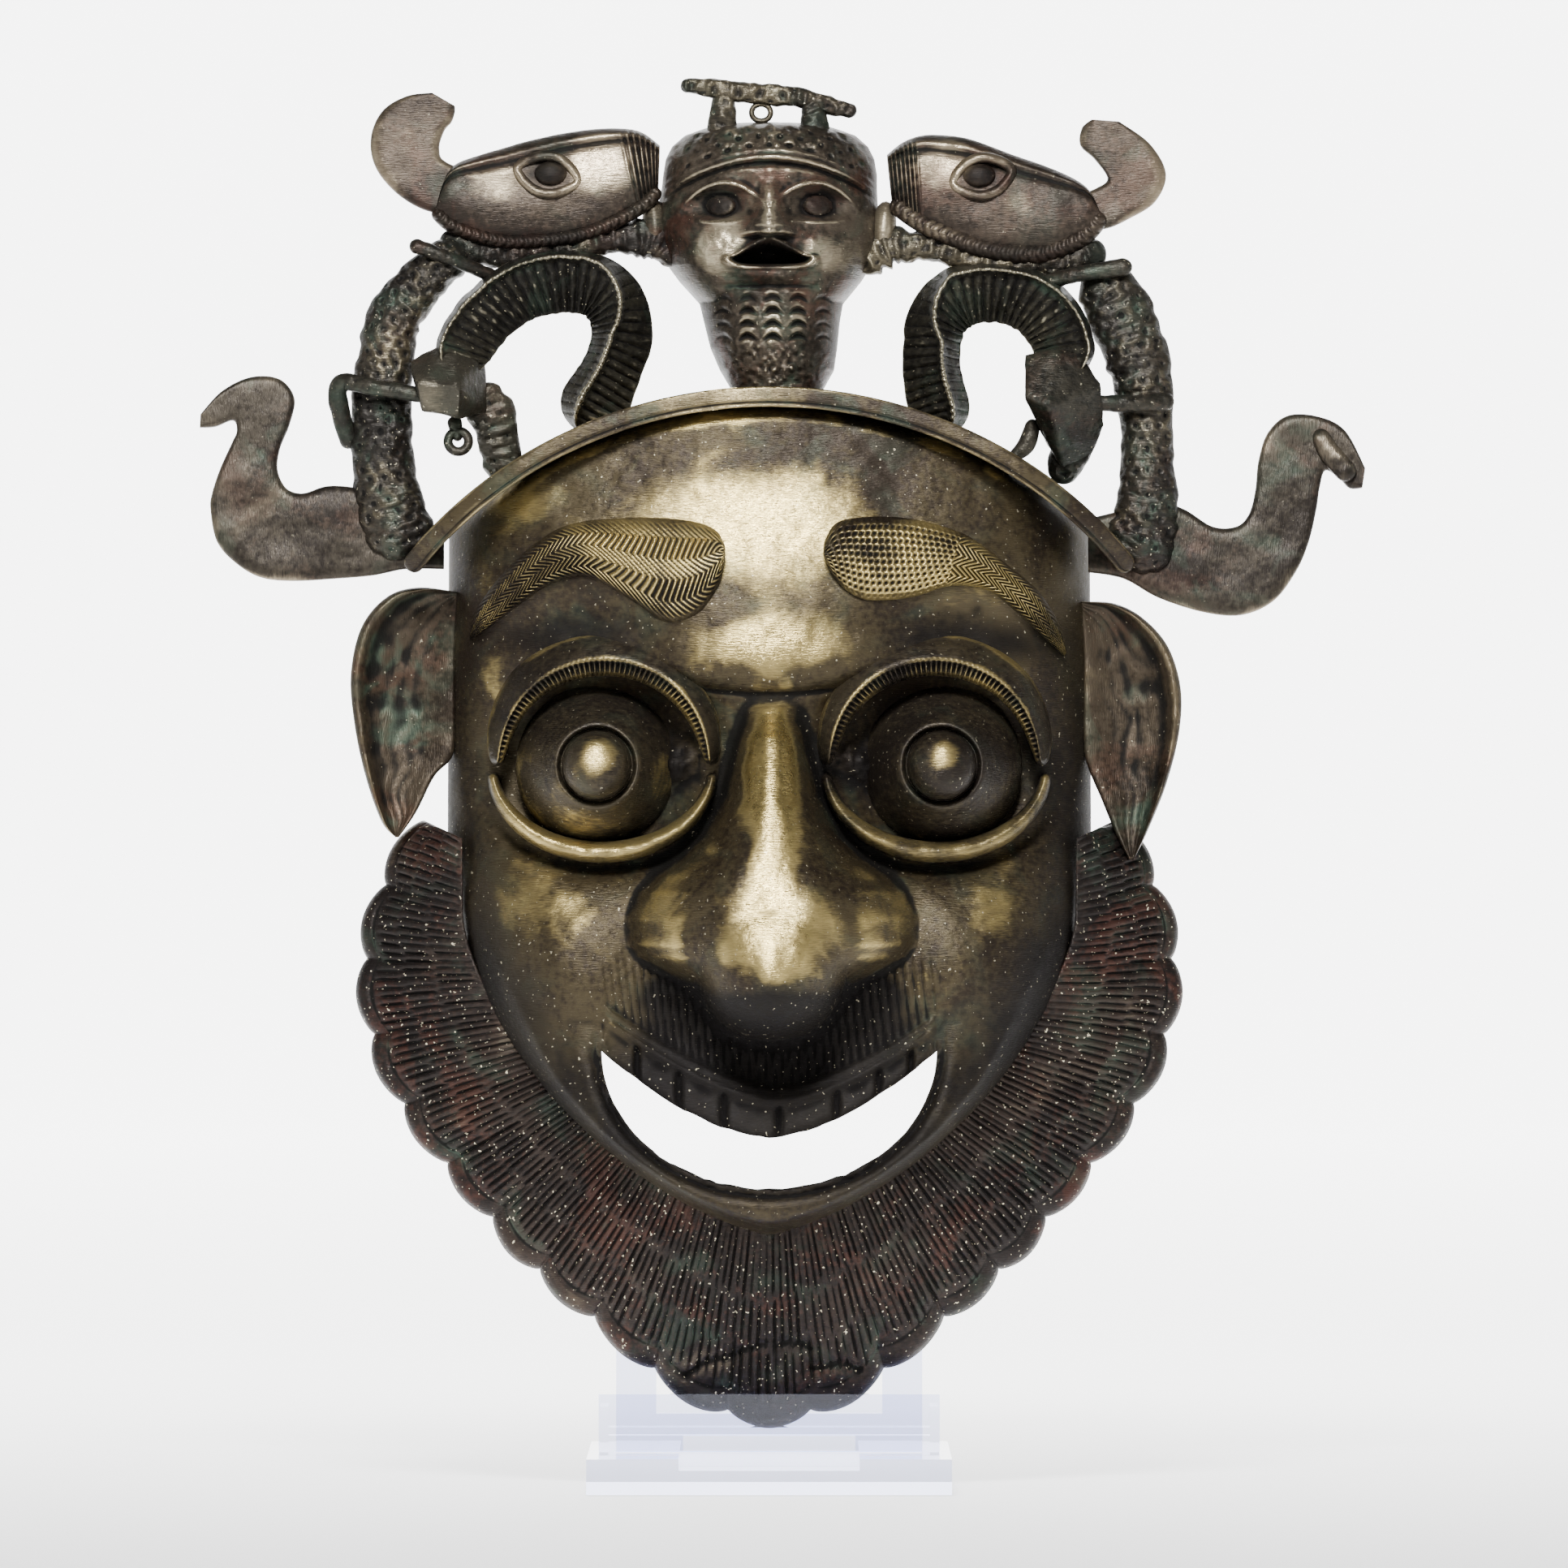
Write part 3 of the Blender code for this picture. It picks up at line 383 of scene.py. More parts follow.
class Finish:
    """A material on its way: node() adds a node, the rest are its common uses."""

    def __init__(self, name):
        self.material = bpy.data.materials.new(name)
        self.material.use_nodes = True
        self.tree = self.material.node_tree
        self.shader = self.tree.nodes["Principled BSDF"]
        self.spot = self.node("ShaderNodeTexCoord", output="Object")

    def node(self, kind, settings=None, sockets=None, output=0):
        """A node by its type, its settings and the values or links of its sockets; gives one output."""
        made = self.tree.nodes.new(kind)
        for key, value in (settings or {}).items():
            setattr(made, key, value)
        for key, value in (sockets or {}).items():
            join(self.tree, made.inputs[key], value)
        return Flow(self.tree, made.outputs[output])

    def mark(self, name):
        """The value of the mesh's own attribute of that name."""
        return self.node("ShaderNodeAttribute", {"attribute_name": name}, output="Fac")

    def noise(self, size, detail=3.0, stretch=(1.0, 1.0, 1.0), twist=0.0):
        """Soft noise from 0 to 1 with patches of the given size in metres."""
        spot = self.node("ShaderNodeMapping", {}, {"Vector": self.spot, "Scale": stretch})
        sockets = {"Vector": spot, "Scale": 1.0 / size, "Detail": detail, "Distortion": twist}
        return self.node("ShaderNodeTexNoise", {}, sockets)

    def between(self, value, low, high):
        """0 below low, 1 above high, smooth between."""
        return self.node("ShaderNodeMapRange", {"interpolation_type": "SMOOTHSTEP"},
                         {"Value": value, "From Min": low, "From Max": high})

    def blend(self, share, first, second):
        """The first colour at share 0, the second at 1."""
        return self.node("ShaderNodeMix", {"data_type": "RGBA"}, {0: share, 6: first, 7: second}, 2)

    def wear(self, sockets):
        """Sets or links the shader's own sockets and gives the finished material."""
        for key, value in sockets.items():
            join(self.tree, self.shader.inputs[key], value)
        return self.material


RUST = (0.085, 0.030, 0.020)
VERDIGRIS = (0.085, 0.150, 0.105)
GRIME = (0.006, 0.0055, 0.005)
# The next colour is the very dark tone that painted shade is darkened to.
PAINTED_SHADE_COLOUR = (0.006, 0.005, 0.005)
DUST = (0.62, 0.56, 0.40)


def bronze(name, dark, middle, bright, shine=(), shade_spots=(), green=0.3, red=0.0, pale=0.0, pits=0.35, polish=0.5,
           scratch=(1, 1, 9)):
    """Patinated bronze: brown skin, rubbed metal on what stands proud, dark grime and green in the hollows,
    and painted shade where shadow falls.

    dark, middle and bright colour the skin and the rubbed metal; shine holds (x, z, reach_x, reach_z,
    strength) of the places rubbed bright and the second list of spots the same for painted shade, darkened
    very deep where shadow falls; green, red and pale are the shares of green, rust and dust, pits the
    roughness of the surface, polish the shine of what stands proud, and scratch the direction of the fine
    lines.
    """
    TOUCHED[name] = (shine, shade_spots)
    mix = Finish(name)
    proud = mix.mark("proud")
    painted_shade = mix.mark("painted_shade")
    large = mix.noise(0.050, 4.0, twist=0.8)
    patch = mix.noise(0.015, 4.0, twist=0.6)
    grain = mix.noise(0.0018, 3.0)
    lines = mix.noise(0.0026, 2.0, scratch)
    worn = mix.between(proud + 0.35 * (patch - 0.5), 0.06, 0.50)
    hollow = mix.between(proud + 0.10 * (grain - 0.5), -0.03, -0.34)
    clouds = worn * polish + mix.mark("rubbed") + 1.7 * (large - 0.5) + 1.1 * (patch - 0.5)
    # The painted shade spots are taken off the gold, so that shaded places stay dull.
    gold = mix.between(clouds + 0.45 * (lines - 0.5) - painted_shade, 0.24, 1.12)
    colour = mix.blend(mix.between(large + 0.5 * (grain - 0.5), 0.36, 0.62), dark, middle)
    colour = mix.blend(gold, colour, bright)
    if red:
        rust = mix.between(mix.noise(0.030, 5.0, twist=1.2) + 0.4 * (grain - 0.5), 0.50, 0.70)
        colour = mix.blend(rust * red, colour, RUST)
    copper_green = mix.between(mix.noise(0.018, 5.0, twist=1.0), 0.50, 0.68)
    deep = mix.between(proud, 0.10, -0.30)
    colour = mix.blend(copper_green * (0.20 + 0.80 * deep) * green, colour, VERDIGRIS)
    colour = mix.blend(hollow * 0.94, colour, GRIME)
    # Painted shade: where the shade spots lie the colour is darkened almost fully to the painted shade colour
    # and, below, made rougher.
    shade_share = mix.between(painted_shade + 0.5 * (patch - 0.5), 0.05, 1.0)
    if shade_spots:
        colour = mix.blend(shade_share * 0.92, colour, PAINTED_SHADE_COLOUR)
    if pale:
        speck = mix.between(mix.noise(0.0011, 1.0), 0.745 - 0.045 * pale, 0.790 - 0.045 * pale)
        colour = mix.blend(speck * pale, colour, DUST)
    dull = 0.40 - 0.12 * gold + 0.30 * hollow + 0.16 * shade_share + 0.22 * (grain - 0.5) + 0.14 * (patch - 0.5)
    height = grain * pits + lines * 0.5 + patch * 0.6
    bump = mix.node("ShaderNodeBump", {}, {"Strength": 0.55, "Distance": 0.0006, "Height": height})
    return mix.wear({"Base Color": colour, "Metallic": 0.55 + 0.40 * gold, "Roughness": dull, "Normal": bump,
                     "Specular IOR Level": 0.22})


MOUTH_COLUMNS = 161
CHEEK_COLUMNS = 61
ROWS_BELOW = 33
ROWS_ABOVE = 257


def face_shell():
    """Front and hollow back on one grid: rows run from jaw to mouth and from mouth to crown.

    The back takes every fourth row and column of the front, and strips of seven-sided faces join the edges.
    """
    skip = 4
    inner = MOUTH_HALF * np.sin(np.linspace(-math.pi / 2, math.pi / 2, MOUTH_COLUMNS))
    outer = np.linspace(MOUTH_HALF, CHEEK, CHEEK_COLUMNS)[1:]
    outer = CHEEK - (CHEEK - outer) ** 1.15 / (CHEEK - MOUTH_HALF) ** 0.15
    x = np.concatenate([-outer[::-1], inner, outer])
    seam_share = (MOUTH_CORNER - jaw(MOUTH_HALF)) / (crown(MOUTH_HALF) - jaw(MOUTH_HALF))
    beside = jaw(x) + seam_share * (crown(x) - jaw(x))
    open_part = np.abs(x) < MOUTH_HALF
    low_edge = np.where(open_part, lip_edge(x), beside)
    top_edge = np.where(open_part, teeth_edge(x), beside)
    up_low = np.linspace(0, 1, ROWS_BELOW)[:, None] ** 1.25
    up_high = np.linspace(0, 1, ROWS_ABOVE)[:, None]
    up_high = up_high + 0.12 * up_high * (1 - up_high) * (1 - 2 * up_high)
    low_z = jaw(x) + up_low * (low_edge - jaw(x))
    high_z = top_edge + up_high * (crown(x) - top_edge)
    bodies = []
    for z, mouth_row, rim_row in ((low_z, -1, 0), (high_z, 0, -1)):
        wide = np.broadcast_to(x, z.shape)
        front_depth = face_front(wide, z)
        back_x, back_z = wide[::skip, ::skip], z[::skip, ::skip]
        back_depth = face_back(back_x, back_z)
        mouth_depth = np.maximum(front_depth[mouth_row, ::skip] - WALL, 0.0)
        near_mouth = np.minimum(mouth_depth, back_depth[mouth_row] + 6)
        back_depth[mouth_row] = np.where(open_part[::skip], near_mouth, back_depth[mouth_row])
        rows, columns = z.shape
        number = np.arange(rows * columns).reshape(rows, columns)
        deep = rows * columns + np.arange(back_x.size).reshape(back_x.shape)
        gap = np.flatnonzero(np.abs(x) <= MOUTH_HALF + 1e-6)
        walls = [(number[rim_row], deep[rim_row]), (number[:, 0], deep[:, 0]), (number[:, -1], deep[:, -1]),
                 (number[mouth_row][gap], deep[mouth_row][gap[::skip] // skip])]
        faces = [grid_quads(rows, columns), grid_quads(*back_x.shape, rows * columns)]
        for near, far in walls:
            fine = [near[k:len(near) - skip + k:skip] for k in range(skip)] + [near[skip::skip]]
            faces.append(np.stack(fine + [far[1:], far[:-1]], axis=-1))
        points = np.concatenate([place(wide, front_depth, z), place(back_x, back_depth, back_z)])
        bodies.append((points, faces))
    return bodies


BROWN = (0.021, 0.015, 0.010)
OLIVE = (0.052, 0.040, 0.021)
BRASS = (0.45, 0.345, 0.135)
# Painted shade on the face: spots darkened where shadow falls, under the nose and in the nostrils, round the
# mouth and lower face, in the eye sockets and their inner corners, under the brows, on the lower cheeks and
# down the face's sides.
FACE_PAINTED_SHADE = ((2, 146, 56, 15, 1.3), (-53, 226, 38, 34, 0.9), (53, 226, 38, 34, 0.9), (0, 120, 92, 44, 1.6),
        (-84, 140, 36, 52, 0.8), (84, 140, 36, 52, 0.9), (-30, 155, 16, 9, 1.3), (32, 155, 16, 9, 1.3),
        (98, 214, 27, 110, 0.7), (-98, 196, 26, 90, 0.6), (-60, 266, 40, 12, 0.8), (60, 264, 42, 13, 0.9),
        (-30, 226, 14, 12, 0.6), (30, 226, 14, 12, 0.6))
RUBBED = ((0, 302, 66, 32, 1.0), (1, 212, 12, 60, 1.15), (1, 174, 26, 24, 0.95), (-74, 180, 22, 27, 0.65),
          (74, 180, 22, 27, 0.55), (0, 264, 40, 13, 0.85), (-34, 178, 14, 13, 0.50),
          (36, 178, 14, 13, 0.40), (-88, 262, 12, 40, 0.55), (-80, 312, 24, 20, 0.40))
face_bronze = bronze("face_bronze", BROWN, OLIVE, BRASS, RUBBED, FACE_PAINTED_SHADE, green=0.22, pale=0.5, pits=0.32,
                     polish=0.50)
cast("face_shell", face_shell(), face_bronze)


# The beard: a broad U of the same casting from ear to ear, dished, cut with
# radial strokes in the wax and finished with a rim of lens-shaped knobs.
BEARD_CENTRE = 160.0
BEARD_START = math.radians(-24.0)
BEARD_SWEEP = math.pi - 2 * BEARD_START
BEARD_WALL = 4.0
RIM_DEPTH = BEARD_WALL + 2.5
BEARD_TUCK = 5.5
SCALLOP = 3.8
KNOBS = 21
KNOB_SIZE = (9.2, 2.5, 3.8)
STROKES = 176
STROKE_BANDS = ((0.01, 0.40), (0.36, 0.66), (0.60, 0.87))


def jaw_reach(angle):
    """Distance from the beard's centre to the jaw line, found by halving."""
    near = np.full_like(angle, 40.0)
    far = np.full_like(angle, 130.0)
    for _ in range(24):
        middle = 0.5 * (near + far)
        x = middle * np.cos(angle)
        z = BEARD_CENTRE - middle * np.sin(angle)
        inside = (np.abs(x) < CHEEK) & (z > jaw(x))
        near = np.where(inside, middle, near)
        far = np.where(inside, far, middle)
    return near


def beard_reach(angle):
    """Distance to the beard's outer edge, a rounded shield without its scallops."""
    reach = 129 * np.cos(angle) ** 2 + 140 * np.sin(angle) ** 2 - 16.5 * np.sin(2 * angle) ** 2
    low = (angle > math.pi / 4) & (angle < 3 * math.pi / 4)
    return reach - np.where(low, 5.0 * np.sin(4 * angle) ** 2, 0.0)


def scatter(number, seed):
    """A repeatable random share from 0 to 1 for each whole number."""
    mixed = (number.astype(np.int64) * 73856093) ^ (seed * 19349663)
    mixed = (mixed ^ (mixed >> 13)) * 1274126177
    return ((mixed ^ (mixed >> 16)) & 65535) / 65535.0


def beard_strokes(turn, share):
    """Depth of the cut strokes: thin grooves in staggered bands with uneven ends, fainter by the jaw."""
    cut = 0.0
    for band, (start, end) in enumerate(STROKE_BANDS):
        phase = turn * STROKES + 0.21 * band + 0.12 * np.sin(5.0 * share + 40.0 * turn)
        index = np.floor(phase)
        off = (phase - index - 0.5) + 0.16 * (scatter(index, 5 + band) - 0.5)
        low = start + 0.05 * scatter(index, 11 + band)
        high = end - 0.06 * scatter(index, 23 + band)
        deep = 0.55 + 0.6 * scatter(index, 31 + band)
        length = rise_past(share, low, 0.010) * rise_past(high - share, 0, 0.010)
        cut = np.maximum(cut, deep * bell(off, 0.17) * length)
    return cut * (0.55 + 0.45 * rise_past(share, 0.30, 0.08))


def near_line(x, z, points):
    """Distance from each point to a broken line."""
    best = np.full(np.shape(x), 1e3)
    for (ax, az), (bx, bz) in zip(points[:-1], points[1:]):
        run_x, run_z = bx - ax, bz - az
        share = np.clip(((x - ax) * run_x + (z - az) * run_z) / (run_x ** 2 + run_z ** 2), 0, 1)
        best = np.minimum(best, np.hypot(x - ax - share * run_x, z - az - share * run_z))
    return best


CRACK_LEFT = [(-26, 35.5), (-20, 40), (-12, 42), (-2, 45.8), (9.5, 45.8), (13, 44.5)]
CRACK_RIGHT = [(13, 38), (23.5, 39.5), (28.5, 37)]


def beard_sheet():
    """Angle along the U by share from jaw to rim: front with strokes, thin back, scalloped edge."""
    turn = np.linspace(0, 1, 1201)[:, None]
    angle = BEARD_START + BEARD_SWEEP * turn
    share = np.linspace(0, 1, 41)[None, :]
    back_share = np.linspace(1, 0, 11)[None, :]
    inner = jaw_reach(angle) - BEARD_TUCK
    lobe = np.abs(np.sin(math.pi * KNOBS * turn)) ** 0.7
    outer = beard_reach(angle) - 3.0 + SCALLOP * lobe
    high = 25.0 + 12.0 * np.sin(angle) ** 2

    def across_beard(shares):
        """x and z of the points at these shares of the way from the jaw to the outer edge."""
        reach = inner + shares * (outer - inner)
        return reach * np.cos(angle), BEARD_CENTRE - reach * np.sin(angle)

    x, z = across_beard(share)
    body = RIM_DEPTH + (high - RIM_DEPTH) * (1 - share ** 1.4)
    rim = rise_past(share, 0.90, 0.02)
    lift = body - 1.5 * beard_strokes(turn, share) + (1 - rim) * 0.5 * rough(x, 3, z, 6.0)
    bead = np.sin(math.pi * np.clip((share - 0.88) / 0.12, 0, 1))
    lift = lift - 0.8 * bell(share - 0.88, 0.02) + rim * (1.4 * lobe - 1.0) * bead
    for crack in (CRACK_LEFT, CRACK_RIGHT):
        lift = lift - 1.8 * bell(near_line(x, z, crack), 0.9)
    lift = lift * (1 - 0.35 * np.clip((share - 0.97) / 0.03, 0, 1))
    front = place(x, lift, z)
    x, z = across_beard(back_share)
    back_lift = RIM_DEPTH + (high - RIM_DEPTH) * (1 - back_share ** 1.4)
    back = place(x, back_lift - BEARD_WALL - 2.5 * back_share ** 2, z)
    rows = turn.shape[0]
    points = np.concatenate([front.reshape(rows, -1, 3), back.reshape(rows, -1, 3)], axis=1)
    columns = points.shape[1]
    faces = [grid_quads(rows, columns, wrap=True)]
    ends = np.arange(columns)
    faces += [ends[None, :], (ends + (rows - 1) * columns)[None, :]]
    return points.reshape(-1, 3), faces


def egg_row(centres, radii, turns, segments=16, rings=9):
    """Egg bodies at carving points (x, depth, z), each turned in the x-z plane.

    radii are the half sizes along, forward and across.
    """
    centres = np.asarray(centres, float)
    radii = np.broadcast_to(np.asarray(radii, float), centres.shape)
    turns = np.broadcast_to(np.asarray(turns, float), len(centres))[:, None, None]
    tilt = np.linspace(0, math.pi, rings + 1)[None, :, None]
    spin = np.linspace(0, 2 * math.pi, segments, endpoint=False)[None, None, :]
    along = radii[:, 0, None, None] * np.sin(tilt) * np.cos(spin)
    across = radii[:, 2, None, None] * np.sin(tilt) * np.sin(spin)
    forward = radii[:, 1, None, None] * np.cos(tilt) * np.ones_like(spin)
    x = centres[:, 0, None, None] + along * np.cos(turns) - across * np.sin(turns)
    z = centres[:, 2, None, None] + along * np.sin(turns) + across * np.cos(turns)
    points = place(x, centres[:, 1, None, None] + forward, z)
    one = grid_quads(rings + 1, segments, wrap=True)
    faces = one[None] + (np.arange(len(centres)) * (rings + 1) * segments)[:, None, None]
    return points, [faces.reshape(-1, 4)]


def beard_knobs():
    """One lens-shaped knob in the middle of each scallop, lying along the rim."""
    index = np.arange(KNOBS)
    angle = BEARD_START + BEARD_SWEEP * (index + 0.5) / KNOBS
    reach = beard_reach(angle) - 6.2 + 1.8 * (scatter(index, 9) - 0.5)
    depth = np.full(KNOBS, 5.4)
    centres = np.stack([reach * np.cos(angle), depth, BEARD_CENTRE - reach * np.sin(angle)], axis=1)
    size = 0.80 + 0.34 * scatter(index, 3)
    along, forward, across = KNOB_SIZE
    radii = np.stack([along * size, forward + 0 * size, across * size], axis=1)
    return egg_row(centres, radii, math.pi / 2 - angle + 0.30 * (scatter(index, 17) - 0.5))


BEARD_RUBBED = ((-20, 40, 34, 14, 0.25),)
# Painted shade on the beard, just below the cheeks on both sides.
BEARD_PAINTED_SHADE = ((-60, 92, 40, 30, 0.3), (60, 92, 40, 30, 0.3))
beard_bronze = bronze("beard_bronze", (0.014, 0.011, 0.010), (0.028, 0.020, 0.016), (0.15, 0.12, 0.085),
                      BEARD_RUBBED, BEARD_PAINTED_SHADE, green=0.45, red=0.36, pale=1.0, pits=0.6, polish=0.25)
cast("beard", [beard_sheet(), beard_knobs()], beard_bronze)


# The brows: two leaf-shaped pads of wax laid on the forehead, hatched in
# herringbone rows with a modelling tool before the casting.
BROW_LEFT = [[(-13.8, 294), (-16.6, 298.6), (-23.5, 301.4), (-35.8, 302.7), (-49.4, 302.4), (-59, 301.4),
              (-67.2, 298.6), (-76.7, 291.8), (-84.9, 283.6), (-91.7, 274.1), (-94, 266)],
             [(-13.6, 290), (-15.6, 282), (-22.1, 273), (-32, 270.3), (-44, 277.5), (-54, 283.5),
              (-61.5, 284), (-69.9, 280.9), (-78, 275.5), (-85.5, 270), (-93.5, 264.5)]]
BROW_RIGHT = [[(16.8, 291.8), (17.5, 295.9), (21.6, 301.4), (32.5, 303), (46.2, 302), (59.9, 298),
               (68, 293), (75, 287.5), (84.4, 279.5), (91.3, 268.6), (93, 261)],
              [(17.5, 290), (19.5, 285), (24, 279.8), (31, 276.8), (43.5, 277.5), (55, 281), (63, 281),
               (70, 278.8), (78, 272.5), (86, 265.2), (92.2, 259.6)]]
BROW_ROWS = 5.0
STROKE_DEEP = 1.15


def curve(points, count, closed=False):
    """A smooth cubic curve through every given point, sampled evenly from point to point."""
    p = np.asarray(points, float)
    last = len(p) if closed else len(p) - 1
    spot = np.linspace(0, last, count, endpoint=not closed)
    i = np.minimum(np.floor(spot).astype(int), last - 1)
    t = (spot - i)[:, None]
    if closed:
        a, b, c, d = p[i - 1], p[i], p[(i + 1) % len(p)], p[(i + 2) % len(p)]
    else:
        a, b, c, d = p[np.maximum(i - 1, 0)], p[i], p[i + 1], p[np.minimum(i + 2, last)]
    square = 2 * a - 5 * b + 4 * c - d
    cube = 3 * b - a - 3 * c + d
    return 0.5 * (2 * b + (c - a) * t + square * t ** 2 + cube * t ** 3)


def oval(count, high, low, power=1.0):
    """A section's across and forward shares: a ring, high in front and low behind, squarer as power falls."""
    spin = np.linspace(0, 2 * math.pi, count, endpoint=False)
    across = np.sign(np.cos(spin)) * np.abs(np.cos(spin)) ** power
    return across, np.where(np.sin(spin) > 0, high, -low) * np.abs(np.sin(spin)) ** power


def slab(count, high, low, corner=6.0):
    """A flat-topped section: across from 1 to -1 in front with rounded corners, then straight back behind."""
    front = np.cos(np.linspace(0, math.pi, count))
    rise = high * (1 - np.abs(front) ** corner) ** 0.6
    behind = np.array([-0.8, 0.0, 0.8])
    return np.concatenate([front, behind]), np.concatenate([rise, np.full(3, low)])


def ring_body(points, closed=False):
    """A closed body through rings of points, capped at both ends or joined end to end."""
    rows, columns = points.shape[:2]
    faces = [grid_quads(rows, columns, wrap=True)]
    ends = np.arange(columns)
    last = ends + (rows - 1) * columns
    if closed:
        faces.append(np.stack([last, np.roll(last, -1), np.roll(ends, -1), ends], axis=-1))
    else:
        faces += [ends[None, :], last[None, :]]
    return points.reshape(-1, 3), faces


def bar(path, section, count, relief=None, base=None, closed=False, sway=0.0, behind=None):
    """A section carried along a smooth path of (x, depth, z, half width), its ends rounded off.

    relief gives extra height from the run along the path in millimetres and the across share;
    base gives the depth that the bar lies on, in place of the path's own, and behind that of its back;
    sway is the unevenness of its width.
    """
    line = curve(path, count, closed)
    flat = line[:, [0, 2]]
    step = np.roll(flat, -1, axis=0) - np.roll(flat, 1, axis=0) if closed else np.gradient(flat, axis=0)
    along = step / np.linalg.norm(step, axis=1)[:, None]
    run = np.concatenate([[0], np.cumsum(np.linalg.norm(np.diff(flat, axis=0), axis=1))])
    half = line[:, 3]
    end = np.ones(count)
    if not closed:
        end = np.maximum(arch(np.minimum(run, run[-1] - run) / np.maximum(half, 0.5)), 0.04)
    across, forward = section
    wide = (half * end)[:, None] * (1.0 + sway * rough(run[:, None], across[None, :] * 3.0, line[:, :1], 3.0))
    x = line[:, :1] + along[:, 1:] * across * wide
    z = line[:, 2:3] - along[:, :1] * across * wide
    lift = forward[None, :] * end[:, None]
    if relief:
        lift = lift + relief(run[:, None], across[None, :], x, z) * (forward > 0)[None, :] * end[:, None]
    ground = line[:, 1:2] if base is None else base(x, z)
    depth = ground + lift
    if behind:
        depth = np.where(forward[None, :] < 0, behind(x, z), depth)
    return ring_body(place(x, depth, z).reshape(count, len(across), 3), closed)


def leaf(banks, front, back, rows, columns, edge=4.0):
    """A thin body between two banks: front gives its depth from the across share and the run share.

    back is a depth, or a function of x and z that gives it. The front falls to the back along both
    banks over a rounded edge, squarer as edge grows; the back has every sixth column alone.
    """
    first, second = (curve(bank, rows) for bank in banks)
    share = 0.5 - 0.5 * np.cos(np.linspace(0, math.pi, columns))
    run = np.linspace(0, 1, rows)[:, None]
    across = np.concatenate([share, share[-4:2:-6]])[None, :]
    x = first[:, :1] + (second[:, :1] - first[:, :1]) * across
    z = first[:, 1:] + (second[:, 1:] - first[:, 1:]) * across
    top = front(across, run, x, z)
    low = back(x, z) if callable(back) else back
    round_off = (1 - np.abs(2 * across - 1) ** edge) ** 0.5
    middle = 0.5 * (top + low)
    in_front = (np.arange(across.shape[1]) < columns)[None, :]
    depth = middle + (np.where(in_front, top, low) - middle) * round_off
    return ring_body(place(x, depth, z).reshape(rows, across.shape[1], 3))


def uneven(run, across, x, z):
    """Slight unevenness of a plain bar."""
    return 0.35 * rough(x, 7, z, 2.6)


def smooth_face(x, z):
    """The face's front without its lips, which brows lie on."""
    return merge(plain_face(x, z), nose(x, z), 7.0)


def brow_back(x, z):
    """The brow's back, sunk into the forehead."""
    return smooth_face(x, z) - 2.5


def herringbone(pitch, punched):
    """Slanted strokes in rows along the brow, each row leaning the other way.

    Up to the share punched of the run, staggered round punch marks stand in finer rows in their place.
    """
    def front(across, run, x, z):
        dots = 1.0 * (run < punched)
        level = across * (BROW_ROWS + 7.0 * dots)
        inside = level - np.floor(level)
        lean = np.where(np.floor(level) % 2 == 0, 1.0, -1.0)
        slide = lean * (0.25 * pitch * dots + (1 - dots) * (inside - 0.5) * 4.6)
        stroke = 0.5 + 0.5 * np.cos(2 * math.pi * (np.abs(x) + 0.35 * (300 - z) + slide) / pitch)
        cross = 1 - dots + dots * np.sin(math.pi * inside) ** 2
        inner = rise_past(0.46 - np.abs(across - 0.5), 0, 0.012) * rise_past(run, 0.035, 0.01)
        swell = 5.4 * np.sin(math.pi * np.clip(across, 0.02, 0.98)) ** 0.3
        return smooth_face(x, z) + swell - STROKE_DEEP * stroke * cross * inner
    return front


brow_bodies = [leaf(BROW_LEFT, herringbone(1.9, 0.0), brow_back, 460, 70, 7.0),
               leaf(BROW_RIGHT, herringbone(2.0, 0.50), brow_back, 460, 90, 7.0)]
brow_bronze = bronze("brow_bronze", BROWN, OLIVE, BRASS, ((-38, 292, 40, 26, 0.5), (42, 288, 42, 28, 0.7)),
                     green=0.10, pale=0.2, pits=0.2, polish=1.0)
cast("brows", brow_bodies, brow_bronze)


# The eyes: turned wax bulbs with fine rings, a groove and a stud pupil, under
# a notched upper lid and over a plain rolled lower lid.
EYE_PROFILE = [(10, 32.5), (18, 33), (23, 34.6), (25.4, 37), (25.0, 40), (23.4, 44), (20.8, 49),
               (18.0, 53.4), (15.8, 57), (14.5, 59.2), (13.4, 60.6), (12.5, 60.9), (11.9, 60.3),
               (11.4, 59.0), (11.0, 58.6), (10.7, 59.4), (10.5, 62.4), (10.0, 65.6), (8.7, 68.4),
               (6.4, 70.6), (3.4, 71.8), (0.4, 72.2)]
EYE_RINGS = 110
EYE_SEGMENTS = 112
UPPER_LID = (33.6, 35.0)
LOWER_LID = (34.5, 26.5)
LID_PITCH = 1.8


def eyeball(side):
    """Rings of (radius, depth) by the profile, turned about the forward axis, with faint tool lines."""
    profile = curve(EYE_PROFILE, EYE_RINGS)
    radius, depth = profile[:, :1], profile[:, 1:]
    spin = np.linspace(0, 2 * math.pi, EYE_SEGMENTS, endpoint=False)[None, :]
    wobble = 1.0 + 0.012 * rough(3 * np.cos(spin), side, 3 * np.sin(spin), 1.4)
    lines = 0.07 * np.cos(2 * math.pi * radius / 1.3 + 0.9 * np.sin(2 * spin)) * rise_past(radius, 14.5, 0.3)
    x = side * EYE_X + radius * wobble * np.cos(spin)
    z = EYE_Z + 1.5 + radius * wobble * np.sin(spin)
    lift = depth + lines + 0.35 * rough(x, depth, z, 6.0)
    return ring_body(place(x, lift, z).reshape(EYE_RINGS, EYE_SEGMENTS, 3))


